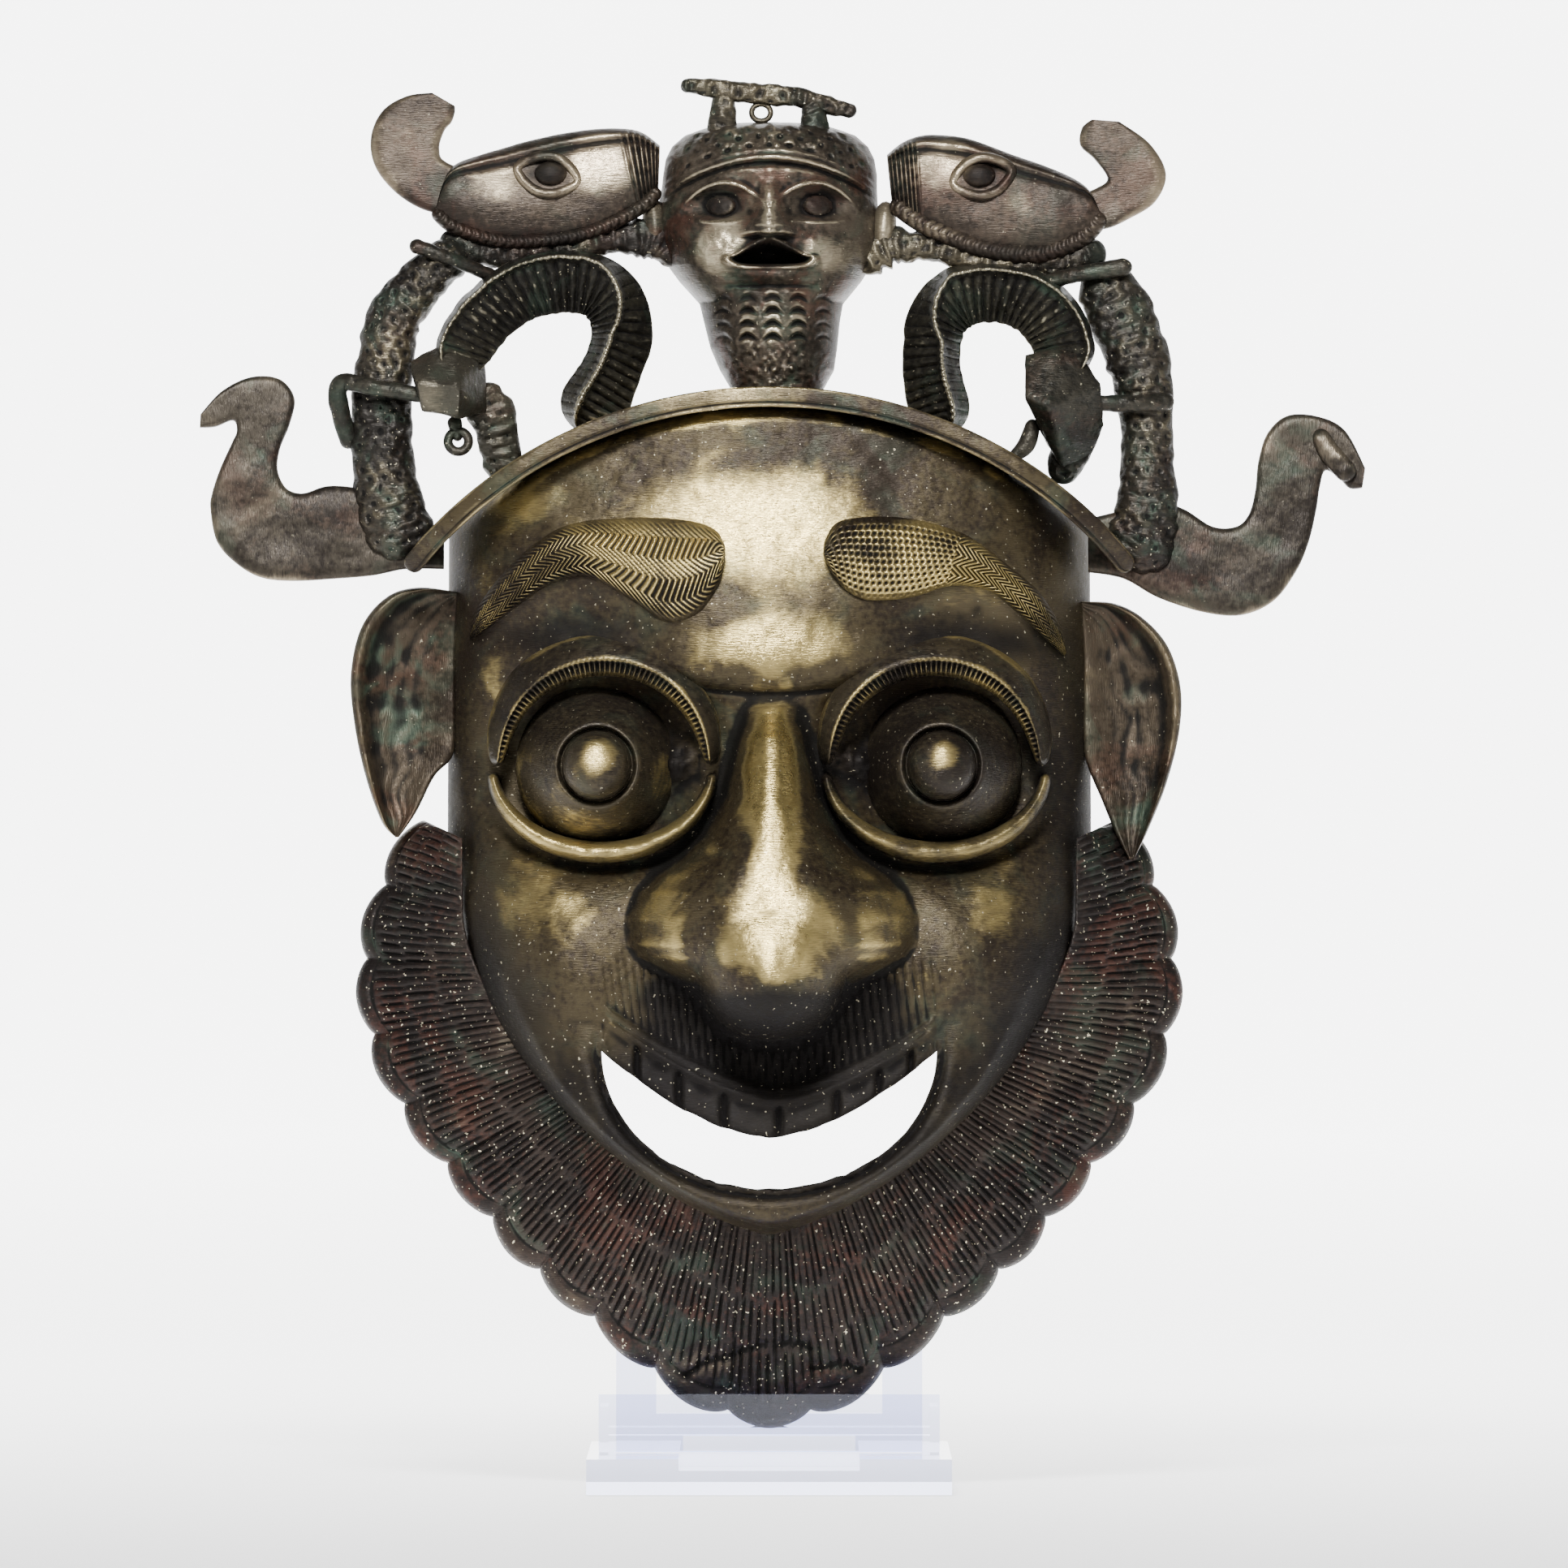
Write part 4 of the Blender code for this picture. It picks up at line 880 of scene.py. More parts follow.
def lid_base(x, z):
    """The plain vault without sockets, which carries the lids."""
    return 2.0 + (47.0 - 7.0 * (np.abs(x) / 70.0) ** 2) * arch((CHEEK + 4 - np.abs(x)) / 35)


def in_the_wall(x, z):
    """A depth inside the face's wall, where the backs of the lids end."""
    return plain_face(x, z) - 2.2


def lid_section(count):
    """The upper lid's section: rises from outside to a thick front edge over the eye, then drops behind."""
    front = np.linspace(-1, 1, count)
    shares = (-1, -0.8, -0.3, 0.1, 0.3, 0.40, 0.85, 1.0)
    rise = np.interp(front, shares, (1.0, 6.0, 10.0, 12.4, 13.0, 12.0, 10.6, 8.0))
    return np.concatenate([front, [0.98, 0.0, -0.9]]), np.concatenate([rise, [-2.0, -9.0, -9.0]])


def notches(run, across, x, z):
    """A row of beads cut along the lid's front edge, over the eye."""
    row = rise_past(across, 0.36, 0.03)
    cuts = 0.5 + 0.5 * np.cos(2 * math.pi * run / LID_PITCH)
    return -1.5 * cuts * row + 0.25 * rough(x, 2, z, 4.0) * (1 - row)


def lids(side):
    """Upper and lower lid: arcs of an ellipse round the eye, drawn out to points at the corners."""
    upper = []
    for turn in np.radians(np.linspace(180, 0, 25)):
        rise = math.sin(turn) if math.sin(turn) > 0.001 else 0.0
        upper.append((side * (EYE_X - 2.0) + UPPER_LID[0] * math.cos(turn), 0.0,
                      EYE_Z + 1.5 + UPPER_LID[1] * rise ** 0.9, 1.6 + 5.6 * rise ** 0.6))
    lower = []
    for turn in np.radians(np.linspace(184, 356, 25)):
        lower.append((side * (EYE_X - 1.5) + LOWER_LID[0] * math.cos(turn), 0.0,
                      EYE_Z + 1 + LOWER_LID[1] * math.sin(turn), 1.5 + 1.9 * abs(math.sin(turn))))
    return [bar(upper, lid_section(27), 460, notches, lid_base, behind=in_the_wall),
            bar(lower, oval(20, 8.0, 8.0), 160, uneven, lid_base, behind=in_the_wall)]


eye_bodies = []
for side in (-1, 1):
    eye_bodies += [eyeball(side)] + lids(side)
eye_shine = tuple((side * EYE_X, EYE_Z + 4, 9, 9, 0.9) for side in (-1, 1))
eye_bronze = bronze("eye_bronze", (0.018, 0.014, 0.011), (0.046, 0.037, 0.023), BRASS, eye_shine, green=0.25,
                    pale=0.45, pits=0.35, polish=0.55)
cast("eyes", eye_bodies, eye_bronze)


# The ears: two thin pointed leaves of the same casting, hollowed in front and
# rolled at the outer edge, joined to the face's sides beside the eyes.
EAR_LEFT = [[(-98, 280), (-110, 281.5), (-120, 278.5), (-128, 269), (-131.3, 254), (-130, 238),
             (-126.5, 222), (-121.5, 208), (-117, 203)],
            [(-97, 278), (-98, 270), (-98.5, 260), (-98.5, 248), (-98.5, 236), (-99.5, 228), (-105, 222),
             (-110.5, 211), (-116, 203)]]
EAR_RIGHT = [[(98, 277), (108, 276.5), (117, 272), (125, 263), (129, 250), (128.5, 236), (124.5, 220),
              (118.5, 205), (114, 196)],
             [(97, 275), (98, 268), (98.5, 258), (98.5, 246), (98.5, 234), (99.5, 226), (104, 215),
              (108.5, 204), (112.5, 196)]]
EAR_BACK = 9.6


def ear_front(across, run, x, z):
    """Hollowed leaf with a rolled outer edge and uneven lines down it."""
    roll = 3.2 * bell(across - 0.06, 0.08)
    wander = 4.0 * rough(x, 2, z, 8.0)
    lines = 0.13 * np.cos(44 * across + 5 * run + wander) * bell(across - 0.5, 0.3)
    hollow = 7.4 * np.sin(math.pi * across) ** 0.8 * np.sin(math.pi * np.clip(run, 0.02, 0.98)) ** 0.6
    return 18.9 - hollow + roll + lines + 0.4 * rough(x, 1, z, 5.0)


ear_bodies = [leaf(banks, ear_front, EAR_BACK, 120, 44) for banks in (EAR_LEFT, EAR_RIGHT)]
ear_bronze = bronze("ear_bronze", BROWN, (0.055, 0.042, 0.028), (0.24, 0.19, 0.115), green=0.55, red=0.25,
                    pale=0.35, pits=0.35, polish=0.35, scratch=(9, 1, 1))
cast("ears", ear_bodies, ear_bronze)


# The brim: a bronze band cast round the top of the forehead, broad from front
# to back, with a groove along its front edge; the crest stands on it.
BRIM_RADIUS = CROWN_RADIUS - 2.5
BRIM_REACH = 121
BRIM_HALF = 3.2
brim_path = []
for angle in np.radians(np.linspace(-51, 51, 21)):
    brim_x = BRIM_RADIUS * math.sin(angle)
    brim_depth = 6 + 52 * float(arch((BRIM_REACH - abs(brim_x)) / 50))
    brim_path.append((brim_x, brim_depth, CROWN_CENTRE + BRIM_RADIUS * math.cos(angle), BRIM_HALF))


def brim_relief(run, across, x, z):
    """A groove along the front edge."""
    return 0.35 * rough(x, 2, z, 6.0) - 0.8 * bell(across - 0.55, 0.12)


brim_bodies = [bar(brim_path, slab(22, 0.8, -16.3, 4.0), 260, brim_relief)]
brim_bronze = bronze("brim_bronze", BROWN, OLIVE, (0.34, 0.27, 0.14), ((0, 342, 60, 12, 0.5),), green=0.55,
                     pale=0.3, pits=0.35, polish=0.55)
cast("brim", brim_bodies, brim_bronze)


# The crest's rough uprights and the bars under the bird heads: rods of wax
# pressed over with pellets and left rough from the mould.
CREST = 20.0
COLUMN_LEFT = [(-96, 389, 6.5), (-108, 379, 7.5), (-118, 366, 8.5), (-121, 350, 9), (-122, 334, 9.5),
               (-121, 319, 10), (-118, 304, 11), (-112, 290, 11)]
COLUMN_RIGHT = [(101, 382, 8), (108, 372, 10), (113, 361, 10.5), (117, 348, 9.5), (118.3, 336, 8.5),
                (118.6, 322, 8.3), (118.6, 309, 9.5), (117, 298, 11), (111, 287, 12)]
BRACKET_LEFT = [(-104, 391, 5), (-88, 387, 4.5), (-68, 388, 4), (-50, 391, 4.5), (-36, 391, 6),
                (-26, 384, 7)]
BRACKET_RIGHT = [(106, 388, 5), (90, 384, 4.5), (70, 384, 4), (52, 388, 4.5), (38, 389, 6), (27, 382, 7)]
PIT_PITCH = 3.6


def pellets(run, across, x, z):
    """Fine lumps with small round pits pressed in staggered rows."""
    row = np.round(run / PIT_PITCH)
    pit_run = run - row * PIT_PITCH
    pit_side = (across * 2.2 + 0.5 * (row % 2)) % 1.0 - 0.5
    pit = np.exp(-((pit_run / 1.15) ** 2 + (pit_side / 0.17) ** 2))
    lumps = 0.55 * rough(x, 0, z, 1.9) + 0.35 * rough(x, 9, z, 1.0) + 0.4 * rough(x, 4, z, 5.0)
    return lumps - 1.2 * pit + 0.2


rough_bodies = []
for line in (COLUMN_LEFT, COLUMN_RIGHT):
    path = [(x, CREST + 2, z, half) for x, z, half in line]
    rough_bodies.append(bar(path, oval(56, 8.6, 3.7, 0.8), 330, pellets, sway=0.07))
for line in (BRACKET_LEFT, BRACKET_RIGHT):
    path = [(x, CREST, z, half) for x, z, half in line]
    rough_bodies.append(bar(path, oval(26, 5.5, 4.4, 0.8), 170, pellets, sway=0.22))
rough_bronze = bronze("rough_bronze", (0.016, 0.014, 0.012), (0.038, 0.033, 0.025), (0.20, 0.17, 0.11),
                      green=0.5, red=0.10, pale=0.6, pits=1.0, polish=0.42)
cast("crest_uprights", rough_bodies, rough_bronze)


# The serpents: two arched bodies with a cord along the back and ribbed flanks,
# each with a blocky head hanging outside, a foot and a curled tongue.
SERPENT_LEFT = [(-59, 330, 12, 0), (-54, 340.6, 11, 0), (-50, 349, 9.6, 0), (-46.5, 359.6, 9.6, 0),
                (-47.8, 369.1, 9.7, 0), (-54, 376, 9.8, 0), (-65.1, 378, 10.2, 0), (-77.8, 375, 10, 2),
                (-88, 367.5, 9.6, 5), (-95, 358, 9.2, 9), (-98.5, 348, 8.2, 14)]
SERPENT_RIGHT = [(54.3, 329, 11, 0), (53.4, 337, 10, 0), (51.3, 347, 9.3, 0), (51.0, 356, 9.1, 0),
                 (52.9, 366, 9.5, 0), (59.5, 372.6, 10, 0), (70.7, 374.4, 9.5, 0), (81, 371.8, 9.8, 2),
                 (88.5, 365.5, 10.2, 5), (92.5, 356.5, 9.6, 9), (92, 347, 8.5, 14)]
SERPENT_BACK = -2.4
RIB_PITCH = 3.0
CORD_PITCH = 2.0
CHIP_LEFT = [(-112.9, 36, 352.2), (-98.8, 36, 359.8), (-96.9, 50, 344.2), (-110.1, 50, 344.6),
             (-108.7, 44, 336.1), (-96.9, 44, 333.8), (-88.4, 30, 336.1), (-89.3, 30, 355),
             (-106, 14, 352), (-92, 14, 354), (-91, 14, 338), (-104, 14, 338)]
CHIP_RIGHT = [(80, 40, 354), (90, 40, 356.5), (98, 40, 354), (104, 42, 344.5), (87, 52, 337.5),
              (79.5, 49, 341), (82, 46, 336), (105, 34, 332), (101.7, 28, 323.3), (92, 28, 318.5),
              (86, 34, 328), (84, 14, 352), (99, 14, 350), (100, 14, 328), (88, 14, 326)]


def ribs(side):
    """A body's front: a corded ridge and ribbed flanks.

    The ridge runs inside the bend at first and outside it from the top on.
    """
    def front(run, across, x, z):
        share = run / run.max()
        ridge = -side * np.interp(share, [0, 0.30, 0.48, 1], [-0.45, -0.35, 0.72, 0.80])
        away = np.where(across > ridge, (across - ridge) / (1 - ridge), (ridge - across) / (1 + ridge))
        slope = 13.5 - 9.0 * away ** 1.3
        rib = np.abs(np.cos(math.pi * (run + 1.2 * away) / RIB_PITCH)) ** 0.7
        flank = rise_past(away, 0.12, 0.03) * rise_past(0.97 - away, 0, 0.02)
        twist = np.cos(2 * math.pi * run / CORD_PITCH + 9 * across)
        cord = bell(across - ridge, 0.13) * (1.9 + 0.3 * twist)
        return slope + cord + 1.3 * (rib - 1) * flank + 0.35 * rough(x, 4, z, 2.0)
    return front


def flat_section(count, low):
    """A section with a level front, which the relief shapes, and a straight back."""
    front = np.cos(np.linspace(0, math.pi, count))
    forward = np.concatenate([np.full(count, 0.4), np.full(3, low)])
    return np.concatenate([front, [-0.9, 0.0, 0.9]]), forward


def chipped_block(corners):
    """The convex hull of its corners, cut fine and made slightly uneven."""
    work = bmesh.new()
    for corner in corners:
        work.verts.new(corner)
    result = bmesh.ops.convex_hull(work, input=work.verts)
    bmesh.ops.delete(work, geom=result["geom_interior"], context="VERTS")
    bmesh.ops.subdivide_edges(work, edges=work.edges, cuts=9, use_grid_fill=True)
    bmesh.ops.triangulate(work, faces=work.faces)
    bmesh.ops.smooth_vert(work, verts=work.verts, factor=0.5,
                          use_axis_x=True, use_axis_y=True, use_axis_z=True)
    spots = np.array([vert.co for vert in work.verts])
    faces = np.array([[vert.index for vert in face.verts] for face in work.faces])
    work.free()
    for k in range(3):
        spots[:, k] += 0.35 * rough(spots[:, 0], spots[:, 1] + 40 * k, spots[:, 2], 3.0)
    return place(spots[:, 0], spots[:, 1], spots[:, 2]), [faces]


serpent_bodies = []
for side, line in ((-1, SERPENT_LEFT), (1, SERPENT_RIGHT)):
    path = [(x, CREST - 2 + lift, z, w) for x, z, w, lift in line]
    serpent_bodies.append(bar(path, flat_section(56, SERPENT_BACK), 360, ribs(side), sway=0.03))
serpent_bronze = bronze("serpent_bronze", (0.013, 0.012, 0.010), (0.034, 0.031, 0.022), (0.42, 0.38, 0.27),
                        green=0.60, pale=0.5, pits=0.7, polish=1.0)
cast("serpents", serpent_bodies, serpent_bronze)

LEG_LEFT = [(-92, CREST + 4, 345, 7.5), (-87, CREST + 5, 335, 7.0), (-84, CREST + 3, 325, 6.5),
            (-83, CREST, 314, 6.0)]
LEG_RIGHT = [(94, CREST + 6, 338, 8.0), (95, CREST + 4, 327, 7.0), (91, CREST, 314, 5.0)]
TONGUE_RIGHT = [(83, CREST + 14, 334, 2.2), (80.5, CREST + 14, 326, 2.8), (75.5, CREST + 13, 321.6, 1.6)]
TONGUE_LEFT = [(-97.4, CREST + 14, 327, 1.6), (-99, CREST + 14, 335, 2.6)]


def round_path(x, depth, z, radii, half, count):
    """A closed path round a centre, for a small ring of round wire."""
    turns = np.radians(np.linspace(0, 360, count, endpoint=False))
    return [(x + radii[0] * math.cos(a), depth, z + radii[1] * math.sin(a), half) for a in turns]


limb_bodies = [chipped_block(corners) for corners in (CHIP_LEFT, CHIP_RIGHT)]
for path in (LEG_LEFT, LEG_RIGHT):
    limb_bodies.append(bar(path, oval(26, 5, 5, 0.8), 110, pellets, sway=0.14))
limb_bodies.append(bar(TONGUE_RIGHT, oval(18, 2.2, 3), 60, uneven))
tongue_curl = round_path(-97.4, CREST + 15, 327, (3.2, 3.2), 1.5, 10)
limb_bodies.append(bar(tongue_curl, oval(12, 2.0, 2.0), 70, closed=True))
limb_bodies.append(bar(TONGUE_LEFT, oval(16, 3, 3), 30))
limb_bronze = bronze("limb_bronze", (0.017, 0.016, 0.013), (0.042, 0.038, 0.029), (0.22, 0.19, 0.13),
                     green=0.70, red=0.15, pale=0.5, pits=1.0, polish=0.10)
cast("serpent_heads", limb_bodies, limb_bronze, sharp=40)


# The four thin rods that tie the serpents' heads to the uprights: rolled wax
# laid across the gaps and cast with the rest, one of them bent round outside.
HIGH = CREST + 11
RODS = [[(-113, HIGH, 389.5, 2.3), (-101, HIGH, 385, 2.2), (-86, HIGH - 5, 379, 2.2)],
        [(-131, HIGH - 8, 325, 3), (-135, HIGH - 3, 338, 3), (-134, HIGH, 345.5, 2.9),
         (-124, HIGH + 4, 344, 2.6), (-105, HIGH + 6, 341, 2.5)],
        [(114, HIGH, 382.5, 2.8), (98, HIGH, 380, 2.6), (82, HIGH - 5, 376, 2.5)],
        [(127, HIGH - 2, 340, 3), (115, HIGH + 2, 339, 2.7), (100, HIGH + 4, 339, 2.6)]]
rod_bodies = [bar(path, oval(16, 2.6, 2.6), 90, uneven, sway=0.08) for path in RODS]
cast("crest_rods", rod_bodies, limb_bronze)


# The bird heads: two domed leaves of the casting with a rimmed almond eye, a
# striped collar by the small head, a roped lower edge and a flat curled crest.
BIRD_LEFT = [[(-105, 401), (-102.5, 410), (-99, 415), (-91.3, 418), (-83.6, 420.3), (-76, 422.5),
              (-63.2, 425.2), (-50.5, 426.5), (-41, 425.5), (-34.5, 421)],
             [(-105, 400.5), (-103.5, 398), (-99, 394.5), (-89, 391), (-78.5, 389.8), (-63.2, 391.2),
              (-53, 394.3), (-43.5, 399), (-38, 403), (-35, 407)]]
BIRD_RIGHT = [[(104, 400), (101, 406.5), (96, 410.5), (87, 414.5), (77, 418), (63.5, 423), (55, 424.3),
               (48, 424.2), (42, 422), (37, 418)],
              [(104, 399.5), (102, 395), (97, 390.5), (87, 386.5), (79, 386), (68, 387.5), (59, 390.8),
               (50, 394.8), (44, 398.5), (38.5, 403)]]
CURL_LEFT = [[(-97, 414), (-100.2, 414.9), (-103.3, 416.9), (-104, 419.5), (-103.8, 422), (-102.3, 425.9),
              (-100.2, 428.4), (-99.2, 431.5), (-99.2, 433.5)],
             [(-97, 399.5), (-106.6, 399.8), (-115.5, 404.2), (-122.4, 411.1), (-125.5, 418.2),
              (-125.2, 425.9), (-121.4, 432.7), (-114.2, 436.8), (-106.6, 437.8)]]
CURL_RIGHT = [[(98, 405.5), (103, 407.5), (106.5, 410.5), (102.5, 416.5), (98, 421), (98.5, 426.5),
               (101.5, 429.2)],
              [(97, 393.5), (106, 394.5), (113, 397.5), (121.5, 403), (125, 412), (120, 421.5),
               (110.5, 428.5)]]
BIRD_EYES = ((-1, -69.8, 411.4, 9.6, -0.20), (1, 67.0, 410.8, 9.4, 0.22))
BIRD_EYE_HIGH = 6.0
BIRD_BACK = CREST - 2.3
CURL_BACK = CREST - 0.9
ROPE_PITCH = 2.8


def bird_front(across, run, x, z):
    """A flat dome over the leaf with a thin top rim and a pebbled and striped collar."""
    hill = np.sin(math.pi * np.clip(across, 0, 1)) ** 0.5 * arch(run / 0.35)
    collar = rise_past(run, 0.82, 0.008)
    stripes = np.cos(2 * math.pi * (run - 0.86) / 0.026) + 1.1 * rough(x, 3, z, 1.8)
    rim = 1.1 * bell(across - 0.08, 0.045) - 0.8 * bell(across - 0.17, 0.04)
    return CREST + 5.2 + 3.8 * hill + rim + 0.7 * stripes * collar + 0.4 * rough(x, 6, z, 6.0) * (1 - collar)


def curl_front(across, run, x, z):
    """A flat plate, slightly uneven."""
    return CREST + 4.1 + 0.25 * rough(x, 8, z, 5.0)


def rope(run, across, x, z):
    """Strokes cut aslant over the edge's band, meeting in its middle."""
    return 0.8 * np.abs(np.cos(math.pi * (run + 1.8 * np.abs(across)) / ROPE_PITCH)) ** 0.6 - 0.8


def bird_eye(side, x, z, half, tilt):
    """An almond rim of rolled wax round a hollow with a ball in it."""
    turn = np.linspace(0, 2 * math.pi, 16, endpoint=False)
    flat_x = half * np.cos(turn)
    flat_z = BIRD_EYE_HIGH * np.sin(turn) * (1 - 0.35 * np.cos(turn) ** 2)
    rim_x = x + flat_x * math.cos(tilt) - flat_z * math.sin(tilt)
    rim_z = z + flat_z * math.cos(tilt) + flat_x * math.sin(tilt)
    lift = CREST + 8.8 - 1.2 * (flat_x / half) ** 2
    rim = [(a, float(b), c, 1.7) for a, b, c in zip(rim_x, lift, rim_z)]
    return [bar(rim, oval(14, 2.2, 1.5), 160, uneven, closed=True),
            egg_row([(x - side * 1.0, CREST + 8.4, z + 0.4)], [(5.2, 3.4, 3.8)], [0.0], 28, 16)]


bird_bodies = []
for banks, curl in ((BIRD_LEFT, CURL_LEFT), (BIRD_RIGHT, CURL_RIGHT)):
    bird_bodies.append(leaf(banks, bird_front, BIRD_BACK, 220, 50, 8.0))
    bird_bodies.append(leaf(curl, curl_front, CURL_BACK, 90, 22, 8.0))
    cord = [(x, CREST + 4.5, z + 0.5, 2.4 if x < 0 else 3.2) for x, z in banks[1]]
    bird_bodies.append(bar(cord, oval(24, 3.4, 2.8), 420, rope))
for numbers in BIRD_EYES:
    bird_bodies += bird_eye(*numbers)
BIRD_RUBBED = ((-52, 414, 20, 14, 0.9), (-88, 408, 20, 12, 0.55), (54, 414, 22, 12, 0.6),
               (84, 402, 18, 10, 0.4))
# Painted shade in the bird heads' eyes and in a band along their lower edges, where shadow falls over the
# brackets.
BIRD_PAINTED_SHADE = ((-70, 411.5, 10, 6, 0.8), (67, 411, 10, 6, 0.8), (-70, 391, 40, 6, 0.6), (72, 387, 40, 6, 0.6))
bird_bronze = bronze("bird_bronze", (0.024, 0.018, 0.014), (0.060, 0.046, 0.034), (0.38, 0.31, 0.21),
                     BIRD_RUBBED, BIRD_PAINTED_SHADE, green=0.30, red=0.18, pale=0.2, pits=0.3, polish=0.42,
                     scratch=(1, 1, 8))
cast("bird_heads", bird_bodies, bird_bronze)


# The small head on the crest: round in front and flat behind, with a dotted
# cap, a headband, an open mouth and a punched beard that runs to the brim.
HEAD_BACK = CREST - 10.0
HEAD_LEVELS = [(2.5, 334, 12, 36), (2.5, 343, 14, 38), (2.4, 350, 18, 40), (1.4, 357, 20, 42),
               (0.8, 365, 21.4, 43.5), (0.6, 371, 22.6, 44), (0.3, 378, 28.6, 45), (0, 383, 32, 46),
               (0, 390, 34.2, 47), (-0.4, 397, 35, 47.5), (-0.4, 403, 34.6, 47), (0, 408, 34, 47),
               (0.2, 412, 33.8, 48), (0.2, 417, 33, 47), (0.2, 421, 31, 44.5), (0.2, 424.5, 27, 41),
               (0.2, 427, 20, 37), (0.2, 428.3, 13, 32)]
BAND_LEVEL = 416.2
BAND_BEND = 0.0096
SMALL_EYE_X = 15.2
MOUTH_LEVEL = 384.6
PUNCH_MIDDLE = 1.1
PUNCH_LOW = 360.0
PUNCH_PITCH = (7.9, 4.1)
HEAD_ROWS = 230
HEAD_COLUMNS = 190


def small_features(x, z):
    """What the features add to the small head's front.

    A pebbled cap with punch marks, a headband, eyes under arched brows, a nose, an open mouth and a
    punched beard.
    """
    above = z - (BAND_LEVEL - BAND_BEND * x ** 2)
    face_zone = rise_past(-above, 1.5, 0.4)
    add = 1.7 * bell(above - 0.2, 1.0) + 0.9 * bell(above - 2.4, 0.7) - 1.6 * bell(above + 1.9, 0.9)
    cap = rise_past(above, 3.0, 0.4)
    dots = np.cos(2 * math.pi * x / 6.4) * np.cos(2 * math.pi * (z + BAND_BEND * x ** 2) / 5.6)
    dots = np.maximum(dots, 0)
    lumps = 0.8 * rough(x, 3, z, 2.2) + 0.5 * rough(x, 6, z, 1.2)
    add = add + cap * (lumps - 1.6 * dots ** 1.4 + 0.8 * bell(x - 0.8, 2.0))
    sides = rise_past(np.abs(x), 30.5, 1.2) * face_zone * rise_past(z, 380, 2)
    add = add + sides * (1.2 + 1.2 * rough(x, 3, z, 2.4) + 0.7 * rough(x, 6, z, 1.3))
    for side in (-1, 1):
        out = (x - side * SMALL_EYE_X) * side
        socket = np.exp(-((out / 9.8) ** 2 + ((z - 401.6 + 0.02 * out ** 2) / 4.8) ** 2) ** 2)
        add = add - 4.4 * socket * face_zone
        add = add + dome(x, z, (side * SMALL_EYE_X, 401.2), (4.6, 3.2), 0.6, 3.4)
        brow = 408.2 - 0.040 * (out + 1.0) ** 2
        add = add + 2.4 * bell(z - brow, 1.1) * np.exp(-(out / 11.5) ** 4) * face_zone
        add = add + 1.3 * bell(z - 395.8 - 0.010 * out ** 2, 0.9) * np.exp(-(out / 9.0) ** 4)
        add = add + 2.4 * bell(out - 5, 9) * bell(z - 387, 7)
    nose_high = np.interp(z, [391.0, 392.2, 394.6, 399, 405, 410], [0, 6.0, 7.6, 5.6, 3.6, 0.0])
    nose_half = np.interp(z, [391.5, 394.5, 399, 407], [7.4, 6.6, 3.8, 2.6])
    add = add + nose_high * np.exp(-(np.abs(x) / nose_half) ** 2.4)
    lip_rise = np.maximum(4.6 - 0.36 * np.abs(x), 0.6)
    opening = np.where(z > MOUTH_LEVEL, (z - MOUTH_LEVEL) / lip_rise, (MOUTH_LEVEL - z) / 2.2)
    mouth = np.sqrt(np.clip(opening, 0, None) ** 2 + ((x - 0.4) / 11.4) ** 4)
    add = add - 10.0 * np.exp(-mouth ** 6) + 2.2 * bell(mouth - 1.45, 0.32)
    add = add + 2.6 * bell(z - 379.4 - 0.012 * x ** 2, 2.3) * np.exp(-(x / 13.0) ** 4)
    add = add - 1.6 * bell(z - 375.6, 1.1) * np.exp(-(x / 14.0) ** 4)
    beard = rise_past(374.0 - z, 0, 2.0) * rise_past(z, 338, 1.0)
    row = np.clip(np.round((z - PUNCH_LOW) / PUNCH_PITCH[1]), 0, 3)
    column = np.clip(np.round((x - PUNCH_MIDDLE) / PUNCH_PITCH[0]), -3, 3)
    off_x = x - PUNCH_MIDDLE - column * PUNCH_PITCH[0]
    off_z = z - PUNCH_LOW - row * PUNCH_PITCH[1]
    punch = np.exp(-((off_x / 2.6) ** 2 + ((off_z + 0.16 * off_x ** 2) / 1.0) ** 2) ** 1.5)
    lower = rise_past(357.5 - z, 0, 1.0)
    add = add + beard * (0.2 - 1.9 * punch + lower * lumps)
    return add + 0.45 * rough(x, 2, z, 3.5) + 0.22 * rough(x, 5, z, 1.5)


def small_head():
    """Level slices, round in front and flat behind, with the features added forward."""
    levels = np.array(HEAD_LEVELS, float)
    z = np.linspace(levels[0, 1], levels[-1, 1], HEAD_ROWS)[:, None]
    middle, half, front = (np.interp(z, levels[:, 1], levels[:, k]) for k in (0, 2, 3))
    turn = np.linspace(0, math.pi, HEAD_COLUMNS)[None, :]
    x = middle + half * np.cos(turn)
    depth = HEAD_BACK + (front - HEAD_BACK) * np.sin(turn) ** 0.8
    depth = depth + small_features(x, z) * np.sin(turn) ** 0.5
    top = (levels[-1, 1] - z) / 3.0
    depth = HEAD_BACK + (depth - HEAD_BACK) * np.where(top < 1, 0.6 + 0.4 * arch(top), 1.0)
    back_turn = np.linspace(math.pi, 0, 14)[None, 1:-1]
    back_x = middle + half * np.cos(back_turn)
    back = place(back_x, np.full_like(back_x, HEAD_BACK), z).reshape(HEAD_ROWS, -1, 3)
    return ring_body(np.concatenate([place(x, depth, z).reshape(HEAD_ROWS, -1, 3), back], axis=1))


